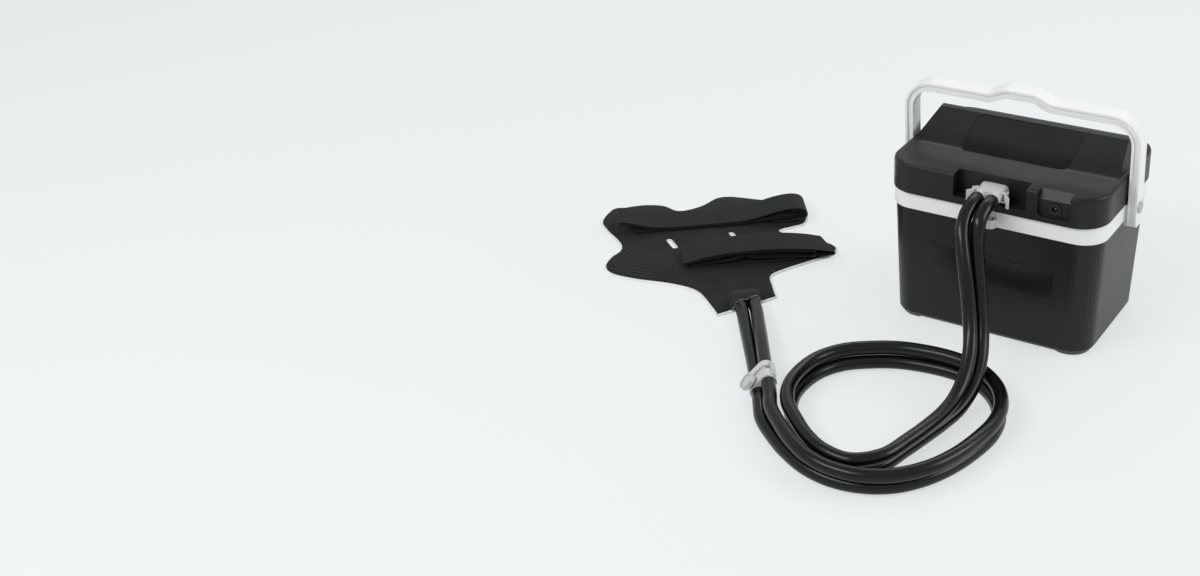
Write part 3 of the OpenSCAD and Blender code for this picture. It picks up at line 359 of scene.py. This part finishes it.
def rim_edges(triangles):
    """The directed edges that only one triangle has."""
    seen = {(int(a), int(b)) for t in triangles for a, b in ((t[0], t[1]), (t[1], t[2]), (t[2], t[0]))}
    return [(a, b) for a, b in seen if (b, a) not in seen]


def cloth_shell(name, points, triangles, top, mid, low):
    """A closed shell between an upper and a lower height, with a rim that is parted at the mid height."""
    count = len(points)
    places = [(x, y, z) for (x, y), z in zip(points, top)]
    places += [(x, y, z) for (x, y), z in zip(points, low)]
    faces = [tuple(int(v) for v in t) for t in triangles]
    faces += [tuple(int(v) + count for v in reversed(t)) for t in triangles]
    shell_faces = len(faces)
    middle = {}
    for a, b in sorted(rim_edges(triangles)):
        for v in (a, b):
            if v not in middle:
                middle[v] = len(places)
                places.append((points[v][0], points[v][1], mid[v]))
        faces.append((b, a, middle[a], middle[b]))
        faces.append((middle[b], middle[a], a + count, b + count))
    piece = add_mesh(name, [tuple(c * MM for c in p) for p in places], faces)
    return piece, shell_faces


def inset_marks(piece, points, amounts):
    """Keeps how far each point is from the outline, in metres, for the rows pressed into the finish."""
    marks = piece.data.attributes.new("inset", "FLOAT", "POINT")
    count = len(points)
    for i in range(len(piece.data.vertices)):
        marks.data[i].value = amounts[i % count] * MM if i < 2 * count else 0.0


outline_ring = round_outline(PAD_OUTLINE, 6, TAIL_CORNERS)


def neck_place(points):
    """Distance of each point into the pad along the tubes, and across them."""
    into = np.array((math.cos(NECK_YAW), math.sin(NECK_YAW)))
    away = points - np.array(NECK[:2])
    return away @ into, away @ np.array((-into[1], into[0]))


# The cover: its inset and heights, how it wraps the two tubes, and its lip and gathers over them
COVER_INSET = 3.0
COVER_RIM = 1.5
COVER_SWELL = 2.0
COVER_LEVEL = BACKING + COVER_RIM + COVER_SWELL
COVER_WRAP = 1.6
TUBE_CROWN = NECK[2] + HOSE / 2 + COVER_WRAP
FLANK = 8.5
FLANK_FOOT = 6
HOLLOW = 1.8
FADE_START = 8
FADE_RUN = 46
LIP = 12.0
LIP_HALF_WIDTH = 21.5
LIP_SOFTNESS = 0.7
LIP_POINTS = 61
GATHER_HEIGHT = 1.1
GATHER_PITCH = 1.25
GATHER_REACH = 36
COVER_OVER_TUBE = 1.3


def over_tubes(points):
    """How far the cover is lifted, from 0 to 1, where it is drawn over the two tubes."""
    into, across = neck_place(points)
    beside = np.abs(across) - PITCH / 2
    reach = HOSE / 2 + COVER_WRAP
    round_top = NECK[2] + np.sqrt(reach ** 2 - np.clip(beside, 0, FLANK) ** 2)
    hollow = np.where(beside < 0, HOLLOW * np.cos(np.pi * across / PITCH) ** 2, 0)
    drop = np.clip((beside - FLANK) / FLANK_FOOT, 0, 1)
    height = (round_top - hollow - COVER_LEVEL) * (0.5 + 0.5 * np.cos(np.pi * drop))
    fade = np.clip((into - FADE_START) / FADE_RUN, 0, 1)
    return height / (TUBE_CROWN - COVER_LEVEL) * (0.5 + 0.5 * np.cos(np.pi * fade))


def with_lip(ring):
    """The cover's outline, with its tail edge drawn out over the two tubes."""
    corners = [np.array(PAD_OUTLINE[k]) for k in TAIL_CORNERS]
    start, end = (int(np.argmin(np.linalg.norm(ring - corner, axis=1))) for corner in corners)
    tail = ring[start] + np.linspace(0, 1, LIP_POINTS)[:, None] * (ring[end] - ring[start])
    into = np.array((math.cos(NECK_YAW), math.sin(NECK_YAW)))
    _, across = neck_place(tail)
    drawn = LIP / (1 + np.exp((np.abs(across) - LIP_HALF_WIDTH) / LIP_SOFTNESS))
    return np.concatenate((ring[:start], tail - drawn[:, None] * into, ring[end + 1:]))


def make_cover():
    """Stretch cover: a slack padded top, drawn over the two tubes at the tail and cut by two slots."""
    ring = with_lip(drawn_in(outline_ring, COVER_INSET))
    holes = [slot_ring(*slot, grow=0.6) for slot in SLOTS]
    points, triangles = fill_outline(ring, holes, spacing=3.4)
    edge = distance_to(points, ring)
    hole_edge = np.minimum(*(distance_to(points, hole) for hole in holes))
    flat = BACKING + COVER_RIM + COVER_SWELL * (1 - np.exp(-edge / 9)) - 0.9 * np.exp(-hole_edge / 3.5)
    lift = over_tubes(points)
    into, across = neck_place(points)
    gathers = GATHER_HEIGHT * np.sin(across / GATHER_PITCH + 0.9 * np.sin(into / 8))
    gathers *= np.exp(-((into - 20) / 15) ** 2)
    gathers *= np.exp(-(np.abs(across) / GATHER_REACH) ** 4) * (0.35 + 0.65 * np.clip(into / 14, 0, 1))
    top = flat + (TUBE_CROWN - flat) * lift + gathers * np.clip(into / 6, 0, 1)
    raised = lift * np.exp(-(np.maximum(into, 0) / 30) ** 2)
    low = BACKING + (top - COVER_OVER_TUBE - BACKING) * np.clip(raised * 1.15, 0, 1)
    mid = low + 0.5 * np.minimum(top - low, 1.2)
    cover, shell_faces = cloth_shell("pad_cover_cloth", points, triangles, top, mid, low)
    puff(cover, len(points), np.minimum(edge, hole_edge), lift)
    inset_marks(cover, points, edge)
    return cover, shell_faces


SWELL_LIMIT = 0.9
SWELL_FRAMES = 20


def puff(cover, count, edge, lift):
    """Lets the slack top of the cover swell a little between its edges, as a simulation of cloth."""
    only(cover)
    held = cover.vertex_groups.new(name="held")
    for i in range(len(cover.data.vertices)):
        free = i < count and edge[i] > 5 and lift[i] < 0.05
        held.add([i], 0.0 if free else 1.0, "REPLACE")
    bpy.ops.object.modifier_add(type="CLOTH")
    cloth = cover.modifiers[-1]
    cloth.settings.quality = 4
    cloth.settings.mass = 0.25
    cloth.settings.use_pressure = True
    cloth.settings.uniform_pressure_force = 4
    cloth.settings.effector_weights.gravity = 0
    cloth.settings.vertex_group_mass = "held"
    cloth.point_cache.frame_start = 1
    cloth.point_cache.frame_end = SWELL_FRAMES
    for frame_number in range(1, SWELL_FRAMES + 1):
        studio.frame_set(frame_number)
    swollen = cover.evaluated_get(bpy.context.evaluated_depsgraph_get()).data
    for vertex in cover.data.vertices:
        if vertex.index < count:
            rise = swollen.vertices[vertex.index].co.z - vertex.co.z
            vertex.co.z += min(max(rise, 0.0), SWELL_LIMIT * MM)
    bpy.ops.object.modifier_remove(modifier=cloth.name)
    cover.vertex_groups.clear()
    studio.frame_set(1)


def make_backing():
    """Pale backing: a thin laminate that shows past the cover all round, with its own slots."""
    holes = [slot_ring(*slot, grow=-1.2) for slot in SLOTS]
    points, triangles = fill_outline(outline_ring, holes, spacing=8)
    top = np.full(len(points), BACKING)
    low = np.full(len(points), 0.05)
    backing, _ = cloth_shell("pad_backing_cloth", points, triangles, top, top - 0.9, low)
    corners = points[triangles]
    (ax, ay), (bx, by) = (corners[:, 1] - corners[:, 0]).T, (corners[:, 2] - corners[:, 0]).T
    return backing, float(np.abs(ax * by - ay * bx).sum() / 2)


BLADDER_SHARE = 0.69
DOT_STEP = 26
DOT_ROW = 22


def make_bladder():
    """Water bladder inside the pad: two welded films, held together at rows of weld dots."""
    ring = PAD_CENTRE + BLADDER_SHARE * (outline_ring - PAD_CENTRE)
    holes = [slot_ring(*slot, grow=4.5) for slot in SLOTS]
    points, triangles = fill_outline(ring, holes, spacing=6)
    edge = np.minimum(distance_to(points, ring), np.minimum(*(distance_to(points, hole) for hole in holes)))
    row = np.round(points[:, 1] / DOT_ROW)
    dot_x = (points[:, 0] / DOT_STEP + 0.5 * (row % 2)) % 1 - 0.5
    dot_y = points[:, 1] / DOT_ROW - row
    dots = np.exp(-((dot_x * DOT_STEP) ** 2 + (dot_y * DOT_ROW) ** 2) / 18)
    top = BACKING + 0.5 + 1.2 * (1 - np.exp(-edge / 5)) * (1 - 0.7 * dots)
    low = np.full(len(points), BACKING + 0.1)
    bladder, _ = cloth_shell("pad_bladder_film", points, triangles, top, (top + low) / 2, low)
    return bladder


cover, cover_rim = make_cover()
backing, backing_area = make_backing()
bladder = make_bladder()
for piece, node, slot_name in (
    (cover, "pad_cover", "dark_fabric"),
    (backing, "pad_backing", "pale_fabric"),
    (bladder, "pad_bladder", "bladder_film"),
):
    face_outwards(piece)
    smooth_shade(piece, 40)
    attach(piece, "tank")
    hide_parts(node)
backing_area * MM * MM


# ---------- folded straps ----------

STRAP_W = 54.0
STRAP_T = 1.4
STRAP_YAW = math.radians(37)
STRAY = 0.7
STRAY_RUN = 71
RIPPLE = 0.12
SKEW_START = 60
SKEW_RUN = 60


def turn_back(along, low, high, side):
    """A half turn from one level to the next, at the end of a layer."""
    return [(along + side * abs(high - low) / 2 * math.sin(math.radians(45 * k)),
             (low + high) / 2 - (high - low) / 2 * math.cos(math.radians(45 * k))) for k in range(5)]


UPPER_RUN = (
    [(84, 1.3), (60, 0.9), (-60, 0.9), (-112, 0.9)] + turn_back(-118, 0.9, 3.4, -1)
    + [(-100, 2.9), (-60, 2.5), (40, 2.5), (60, 2.8), (84, 4), (109, 5.6)] + turn_back(130, 6.8, 9.6, 1)
    + [(109, 8.6), (84, 6.6), (54, 4.6), (25, 4.1), (-50, 4.1), (-72, 4.6), (-93, 6.6), (-110, 10.8),
       (-125, 15.6)]
    + turn_back(-143, 18.3, 20.9, -1)
    + [(-132, 20.1), (-119, 16.3), (-105, 12.1), (-93, 9), (-72, 6.4), (-50, 5.7), (25, 5.8), (54, 6.9),
       (78, 11.1), (104, 18.1), (126, 21.5), (141, 20.6), (150, 16.1), (153, 9.5), (149, 3.4), (139, 1.1),
       (96, 1)]
)
LOWER_RUN = (
    [(66, 1.1), (30, 0.9), (-80, 0.9)] + turn_back(-92, 0.9, 3.4, -1)
    + [(-80, 3.6), (-55, 5.2), (-32, 7), (-20, 10.9), (-12, 13), (-4, 10.4), (6, 7.2), (23, 6.1), (43, 5.7),
       (70, 3.4)]
    + turn_back(88, 1.9, 10.9, 1)
    + [(70, 13.4), (43, 16.6), (20, 17.6), (-2, 18.1), (-24, 17.8), (-50, 15.6), (-77, 11.6)]
    + turn_back(-103, 6.3, 8.9, -1)
    + [(-77, 14.5), (-60, 17.2), (-39, 19.6), (-2, 20.3), (36, 19.7), (65, 17.3), (94, 12.9), (108, 9.6)]
    + turn_back(115, 8.2, 2.8, 1) + [(104, 1.9), (96, 1.7)]
)


def fold_strap(name, place, run, skew, seed):
    """An elastic strap folded back and forth along its run. Its edges are rounded and stray a little."""
    line = smooth_line([Vector((x, z)) for x, z in run], 3)
    half = STRAP_W / 2
    stations = [-half, -half + 0.5, -half + 2, -18, -9, 0, 9, 18, half - 2, half - 0.5, half]
    cos, sin = math.cos(STRAP_YAW), math.sin(STRAP_YAW)
    points, places, faces = [], [], []
    gone = 0.0
    for i, (x, z) in enumerate(line):
        along = heading(line, i)
        gone += (line[i] - line[i - 1]).length if i else 0
        stray = STRAY * math.sin(gone / STRAY_RUN + seed)
        for side, row in ((1, stations), (-1, stations[::-1])):
            for b in row:
                thin = 0.3 if abs(b) == half else 0.8 if abs(b) > half - 1 else 1
                ripple = RIPPLE * noise.noise(Vector((gone / 14, b / 12, seed)))
                out = side * STRAP_T / 2 * thin + ripple
                u = x - along.y * out + skew * max(0, x - SKEW_START) / SKEW_RUN * -b / half
                w = b + stray
                points.append(((place[0] + u * cos - w * sin) * MM, (place[1] + u * sin + w * cos) * MM,
                               (PAD_TOP + z + along.x * out) * MM))
                places.append((gone * MM, (b + half) * MM))
    ring = 2 * len(stations)
    for i in range(len(line) - 1):
        for k in range(ring):
            a, b = i * ring + k, i * ring + (k + 1) % ring
            faces.append((a, b, b + ring, a + ring))
    last = (len(line) - 1) * ring
    for k in range(len(stations) - 1):
        faces.append((k + 1, k, ring - 1 - k, ring - 2 - k))
        faces.append((last + k, last + k + 1, last + ring - 2 - k, last + ring - 1 - k))
    strap = add_mesh(name, points, faces, places)
    face_outwards(strap)
    smooth_shade(strap, 60)
    return strap, gone


straps = []
for name, node, place, run, skew, seed in (
    ("upper_strap_band", "strap_upper", (-517, 20), UPPER_RUN, 0, 1.0),
    ("lower_strap_band", "strap_lower", (-400, -50), LOWER_RUN, 7, 4.0),
):
    strap, whole = fold_strap(name, place, run, skew, seed)
    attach(strap, "tank")
    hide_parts(node)
    whole * MM
    straps.append(strap)


# ---------- finishes ----------


class Amount:
    """A number that varies over a surface. Arithmetic on it adds Math nodes."""

    def __init__(self, tree, socket):
        self.tree = tree
        self.socket = socket

    def work(self, operation, *others):
        node = self.tree.nodes.new("ShaderNodeMath")
        node.operation = operation
        for entry, item in zip(node.inputs, (self,) + others):
            if isinstance(item, Amount):
                self.tree.links.new(item.socket, entry)
            else:
                entry.default_value = item
        return Amount(self.tree, node.outputs[0])

    def __add__(self, other):
        return self.work("ADD", other)

    __radd__ = __add__

    def __mul__(self, other):
        return self.work("MULTIPLY", other)

    __rmul__ = __mul__

    def __sub__(self, other):
        return self.work("SUBTRACT", other)

    def __rsub__(self, other):
        return self * -1 + other

    def __pow__(self, other):
        return self.work("POWER", other)

    def wave(self):
        return self.work("SINE")

    def over(self, low, high):
        """0 below low, 1 above high, and smooth between."""
        node = self.tree.nodes.new("ShaderNodeMapRange")
        node.interpolation_type = "SMOOTHSTEP"
        node.inputs["From Min"].default_value = low
        node.inputs["From Max"].default_value = high
        self.tree.links.new(self.socket, node.inputs["Value"])
        return Amount(self.tree, node.outputs[0])


class Finish:
    """One material, built up from the surface's own coordinates."""

    def __init__(self, name, **fixed):
        self.material = bpy.data.materials.new(name)
        self.material.use_nodes = True
        self.tree = self.material.node_tree
        self.tree.nodes.clear()
        self.skin = self.tree.nodes.new("ShaderNodeBsdfPrincipled")
        result = self.tree.nodes.new("ShaderNodeOutputMaterial")
        self.tree.links.new(self.skin.outputs[0], result.inputs["Surface"])
        self.place = self.tree.nodes.new("ShaderNodeTexCoord").outputs["Object"]
        for entry, value in fixed.items():
            self.skin.inputs[entry.replace("_", " ")].default_value = value

    def add(self, kind, inputs, output=0, **settings):
        node = self.tree.nodes.new(kind)
        for key, value in settings.items():
            setattr(node, key, value)
        for entry, value in inputs.items():
            if isinstance(value, Amount):
                self.tree.links.new(value.socket, node.inputs[entry])
            elif isinstance(value, bpy.types.NodeSocket):
                self.tree.links.new(value, node.inputs[entry])
            else:
                node.inputs[entry].default_value = value
        return Amount(self.tree, node.outputs[output])

    def speckle(self, scale, detail=2.0, where=None):
        entries = {"Vector": where or self.place, "Scale": scale, "Detail": detail}
        return self.add("ShaderNodeTexNoise", entries)

    def mapped(self, where, scale=(1, 1, 1), yaw=0.0):
        """Coordinates turned by yaw and stretched by scale, for a pattern to lie on."""
        entries = {"Vector": where, "Rotation": (0, 0, yaw), "Scale": scale}
        return self.add("ShaderNodeMapping", entries).socket

    def surface_map(self):
        return self.add("ShaderNodeUVMap", {}, uv_map="surface").socket

    def distance_from(self, point):
        """Distance from a point given in millimetres, in metres."""
        ends = {0: self.place, 1: tuple(c * MM for c in point)}
        return self.add("ShaderNodeVectorMath", ends, output=1, operation="DISTANCE")

    def part(self, vector, axis):
        return self.add("ShaderNodeSeparateXYZ", {"Vector": vector}, output=axis)

    def feed(self, entry, amount):
        self.tree.links.new(amount.socket, self.skin.inputs[entry])

    def colour(self, dark, light, amount):
        mixed = self.tree.nodes.new("ShaderNodeMix")
        mixed.data_type = "RGBA"
        self.tree.links.new(amount.socket, mixed.inputs[0])
        mixed.inputs[6].default_value = (*dark, 1)
        mixed.inputs[7].default_value = (*light, 1)
        self.tree.links.new(mixed.outputs[2], self.skin.inputs["Base Color"])

    def relief(self, height, depth, soften=0.0):
        """Bump of the given depth in metres. soften rounds the sharp edges under it, in metres."""
        inputs = {"Height": height, "Distance": depth, "Strength": 1.0}
        if soften:
            inputs["Normal"] = self.add("ShaderNodeBevel", {"Radius": soften}, samples=4).socket
        self.tree.links.new(self.add("ShaderNodeBump", inputs).socket, self.skin.inputs["Normal"])


def moulded(name, dark, light, roughness, grain=0.00005, scale=1400.0, soften=0.0008, gloss=0.5):
    """Moulded plastic: a fine grain, and a slow change of tone and gloss."""
    finish = Finish(name, Specular_IOR_Level=gloss)
    drift = finish.speckle(9.0, 3.0)
    fine = finish.speckle(scale, 2.0)
    finish.colour(dark, light, drift.over(0.3, 0.7) * 0.8 + fine * 0.2)
    finish.feed("Roughness", drift * 0.12 + fine * 0.06 + (roughness - 0.09))
    finish.relief(fine, grain, soften)
    return finish.material


def metal(name, colour, roughness):
    """Plain metal with fine lines along x."""
    finish = Finish(name, Metallic=1.0)
    lines = finish.speckle(3.0, 4.0, finish.mapped(finish.place, (60, 900, 900)))
    finish.colour([c * 0.8 for c in colour], colour, lines)
    finish.feed("Roughness", lines * 0.15 + (roughness - 0.07))
    finish.relief(lines, 0.00002, 0.0003)
    return finish.material


def sleeve():
    """Foam hose sleeve: a closed skin with a satin gloss and faint flow marks along its length."""
    finish = Finish("hose_sleeve", Specular_IOR_Level=0.32)
    marks = finish.speckle(3.0, 3.0, finish.mapped(finish.surface_map(), (14, 18, 1)))
    pores = finish.speckle(1500.0, 2.0)
    finish.colour((0.002, 0.002, 0.0022), (0.0036, 0.0036, 0.0039), marks)
    finish.feed("Roughness", marks * 0.06 + pores * 0.03 + 0.2)
    finish.relief(marks * 0.8 + pores * 0.2, 0.00003)
    return finish.material


# The welds pressed into the pad's cover: rows in its front left lobe, and a ring near its tail
LOBE_WELDS = (-572, -128, 6)
TAIL_WELD = (-379, -163, 6)
TAIL_WELD_RADIUS = 4.5
TAIL_WELD_WIDTH = 1.4
KNIT_YAW = math.radians(-36)


def knit():
    """Stretch cover: a fine knit with a faint nap, and the welds of the bladder pressed into it."""
    finish = Finish("pad_knit", Sheen_Weight=0.05, Sheen_Roughness=0.5, Specular_IOR_Level=0.25)
    inset = finish.add("ShaderNodeAttribute", {}, output=2, attribute_name="inset")
    rows = ((inset * 780).wave() * 0.5 + 0.5) ** 3
    rows_pressed = rows * (1 - inset.over(0.028, 0.036)) * inset.over(0.005, 0.01)
    rows_near = 1 - finish.distance_from(LOBE_WELDS).over(0.035, 0.11)
    from_ring = (finish.distance_from(TAIL_WELD) - TAIL_WELD_RADIUS * MM).work("ABSOLUTE")
    ring = 1 - from_ring.over(0.0, TAIL_WELD_WIDTH * MM)
    pressed = rows_pressed * (rows_near * -0.7 - 0.15) - ring
    weave = finish.mapped(finish.place, yaw=KNIT_YAW)
    across = finish.part(weave, 0)
    down = finish.part(weave, 1)
    loops = (across * 4200).wave() * 0.5 + (down * 3300 + (across * 2100).wave() * 0.8).wave() * 0.5
    cloud = finish.speckle(38.0, 4.0)
    nap = finish.speckle(700.0, 3.0)
    finish.colour((0.004, 0.004, 0.0042), (0.014, 0.014, 0.0143), cloud.over(0.35, 0.7) * 0.4 + nap * 0.4)
    finish.feed("Roughness", nap * 0.2 + 0.7)
    finish.relief(loops * 0.1 + nap * 0.2 + pressed, 0.0014)
    return finish.material


def webbing():
    """Elastic strap: ribs run across the strap, with fine yarns along it."""
    finish = Finish("strap_webbing", Sheen_Weight=0.05, Sheen_Roughness=0.4, Specular_IOR_Level=0.25)
    flow = finish.surface_map()
    along = finish.part(flow, 0)
    across = finish.part(flow, 1)
    ribs = (along * 3600).wave() * 0.5 + 0.5
    yarns = (across * 5200).wave() * 0.5 + 0.5
    cloud = finish.speckle(60.0, 3.0)
    half = STRAP_W / 2 * MM
    selvedge = (across - half).work("ABSOLUTE").over(half - 0.0035, half - 0.0015)
    tone = cloud.over(0.3, 0.7) * 0.4 + yarns * 0.3 + selvedge * 0.1
    finish.colour((0.0045, 0.0045, 0.0046), (0.015, 0.015, 0.0153), tone)
    finish.feed("Roughness", cloud * 0.15 + ribs * 0.1 + 0.62)
    finish.relief(ribs * 0.5 + yarns * 0.35 + selvedge * 0.4, 0.0002)
    return finish.material


def brushed_backing():
    """Pale backing: a short brushed pile."""
    finish = Finish("backing_pile", Sheen_Weight=0.3)
    pile = finish.speckle(900.0, 4.0)
    drift = finish.speckle(30.0, 3.0)
    finish.colour((0.78, 0.78, 0.77), (0.88, 0.88, 0.87), drift.over(0.3, 0.7))
    finish.feed("Roughness", pile * 0.1 + 0.8)
    finish.relief(pile, 0.0004)
    return finish.material


def milky_tube():
    """Flexible water tube, milky and half clear."""
    finish = Finish("milky_tube", Transmission_Weight=0.4, IOR=1.4)
    cloud = finish.speckle(120.0, 2.0)
    finish.colour((0.62, 0.66, 0.68), (0.74, 0.78, 0.79), cloud)
    finish.feed("Roughness", cloud * 0.1 + 0.25)
    finish.relief(cloud, 0.00005)
    return finish.material


FINISHES = {
    "tank_shell": moulded("shell_black", (0.0045, 0.0045, 0.0048), (0.007, 0.007, 0.0074), 0.36,
                          grain=0.00006, scale=1300, soften=0.0012, gloss=0.34),
    "white_plastic": moulded("moulded_white", (0.78, 0.78, 0.78), (0.83, 0.83, 0.83), 0.42,
                             grain=0.00003, scale=1500, soften=0.001),
    "grey_plastic": moulded("moulded_grey", (0.5, 0.5, 0.48), (0.64, 0.64, 0.62), 0.3,
                            grain=0.00003, scale=1500, soften=0.0006),
    "label_film": moulded("blank_film", (0.004, 0.004, 0.0043), (0.006, 0.006, 0.0063), 0.22,
                          grain=0.00002, scale=1800, soften=0.0004, gloss=0.36),
    "foam": moulded("rigid_foam", (0.66, 0.6, 0.42), (0.74, 0.69, 0.52), 0.85,
                    grain=0.0004, scale=500, soften=0.0),
    "steel": metal("plain_steel", (0.6, 0.6, 0.61), 0.35),
    "bright_pin": metal("bright_contact", (0.85, 0.84, 0.8), 0.15),
    "black_rubber": moulded("black_rubber", (0.008, 0.008, 0.008), (0.014, 0.014, 0.014), 0.6,
                            grain=0.00005, scale=1200, soften=0.0, gloss=0.35),
    "black_plastic": moulded("matt_black_plastic", (0.007, 0.007, 0.0075), (0.012, 0.012, 0.0125), 0.45,
                             gloss=0.4),
    "clear_tube": milky_tube(),
    "hose_sleeve": sleeve(),
    "pale_fabric": brushed_backing(),
    "bladder_film": moulded("bladder_film", (0.3, 0.35, 0.4), (0.38, 0.43, 0.47), 0.35,
                            grain=0.0001, scale=300, soften=0.0),
    "dark_fabric": knit(),
    "elastic": webbing(),
}


def dress(piece, slot_name):
    """Gives a new piece the finish of its slot."""
    piece.data.materials.clear()
    piece.data.materials.append(FINISHES[slot_name])


for subpart in frame["record"]["subparts"]:
    for slot in frame["nodes"][subpart["node"]].material_slots:
        slot.material = FINISHES[subpart["material_slot"]]

for tube in tubes.values():
    dress(tube, "hose_sleeve")
for strap in straps:
    dress(strap, "elastic")
dress(backing, "pale_fabric")
dress(bladder, "bladder_film")
dress(cover, "dark_fabric")
# The lower half of the cover's rim takes the backing's finish
cover.data.materials.append(FINISHES["pale_fabric"])
for index in range(cover_rim + 1, len(cover.data.polygons), 2):
    cover.data.polygons[index].material_index = 1

# The pad's tubes go with the tank's body, and the main hose's tubes keep their placement baked into their
# points
for name in ("pad_tube_supply", "pad_tube_return"):
    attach(tubes[name], "tank")
for name in ("hose_tube_supply", "hose_tube_return"):
    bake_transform(tubes[name])


# ---------- floor and lights ----------


BACKGROUND = (0.847, 0.879, 0.888)
FLOOR_SIZE = 14
FLOOR_DROP = 0.0005
FLOOR_GLOW = 0.7
ROOM_LIGHT = 0.62


def seen_directly(tree):
    """1 for what the camera sees, straight or by way of metal or glass, and 0 for other light."""
    rays = tree.nodes.new("ShaderNodeLightPath")
    total = Amount(tree, rays.outputs["Is Camera Ray"])
    for name in ("Is Glossy Ray", "Is Transmission Ray"):
        total = total + Amount(tree, rays.outputs[name])
    return total


def lay_floor():
    """Plain pale floor. Part of its tone is a glow, so its edge doesn't show, and the rest takes shadows."""
    bpy.ops.mesh.primitive_plane_add(size=FLOOR_SIZE, location=(0, 0, -FLOOR_DROP))
    floor = bpy.context.active_object
    floor.name = "studio_floor"
    paper = Finish("studio_paper", Specular_IOR_Level=0.0)
    tone = paper.speckle(2.0, 2.0)
    paper.colour((0.80, 0.83, 0.84), (0.81, 0.84, 0.85), tone)
    paper.feed("Roughness", tone * 0.02 + 0.9)
    glow = paper.tree.nodes.new("ShaderNodeEmission")
    glow.inputs["Color"].default_value = (*BACKGROUND, 1)
    blend = paper.tree.nodes.new("ShaderNodeMixShader")
    paper.tree.links.new((seen_directly(paper.tree) * FLOOR_GLOW).socket, blend.inputs[0])
    paper.tree.links.new(paper.skin.outputs[0], blend.inputs[1])
    paper.tree.links.new(glow.outputs[0], blend.inputs[2])
    result = next(node for node in paper.tree.nodes if node.type == "OUTPUT_MATERIAL")
    paper.tree.links.new(blend.outputs[0], result.inputs["Surface"])
    floor.data.materials.append(paper.material)


def hang_light(name, place, target, size, power):
    """A rectangular lamp at a place in metres, turned to its target."""
    lamp = bpy.data.lights.new(name, "AREA")
    lamp.shape = "RECTANGLE"
    lamp.size, lamp.size_y = size
    lamp.energy = power
    holder = bpy.data.objects.new(name, lamp)
    studio.collection.objects.link(holder)
    holder.location = place
    holder.rotation_euler = (Vector(target) - Vector(place)).to_track_quat("-Z", "Y").to_euler()


def fill_room():
    """Even light from all round, with the plain backdrop where the camera looks past the floor."""
    room = bpy.data.worlds.new("studio_room")
    room.use_nodes = True
    sky = room.node_tree
    around = sky.nodes["Background"]
    around.inputs["Color"].default_value = (0.95, 0.97, 0.98, 1)
    around.inputs["Strength"].default_value = ROOM_LIGHT
    backdrop = sky.nodes.new("ShaderNodeBackground")
    backdrop.inputs["Color"].default_value = (*BACKGROUND, 1)
    either = sky.nodes.new("ShaderNodeMixShader")
    rays = sky.nodes.new("ShaderNodeLightPath")
    sky.links.new(rays.outputs["Is Camera Ray"], either.inputs[0])
    sky.links.new(around.outputs[0], either.inputs[1])
    sky.links.new(backdrop.outputs[0], either.inputs[2])
    sky.links.new(either.outputs[0], sky.nodes["World Output"].inputs["Surface"])
    studio.world = room


lay_floor()
hang_light("key_softbox", (-0.9, -1.9, 1.9), (-0.1, -0.1, 0.12), (2.0, 0.5), 30)
hang_light("side_softbox", (2.2, 0.6, 1.5), (0, -0.1, 0.12), (1.4, 1.2), 24)
hang_light("back_strip", (-0.3, 1.7, 1.9), (-0.1, -0.3, 0.05), (2.2, 0.3), 9)
fill_room()
studio.view_settings.view_transform = "Standard"
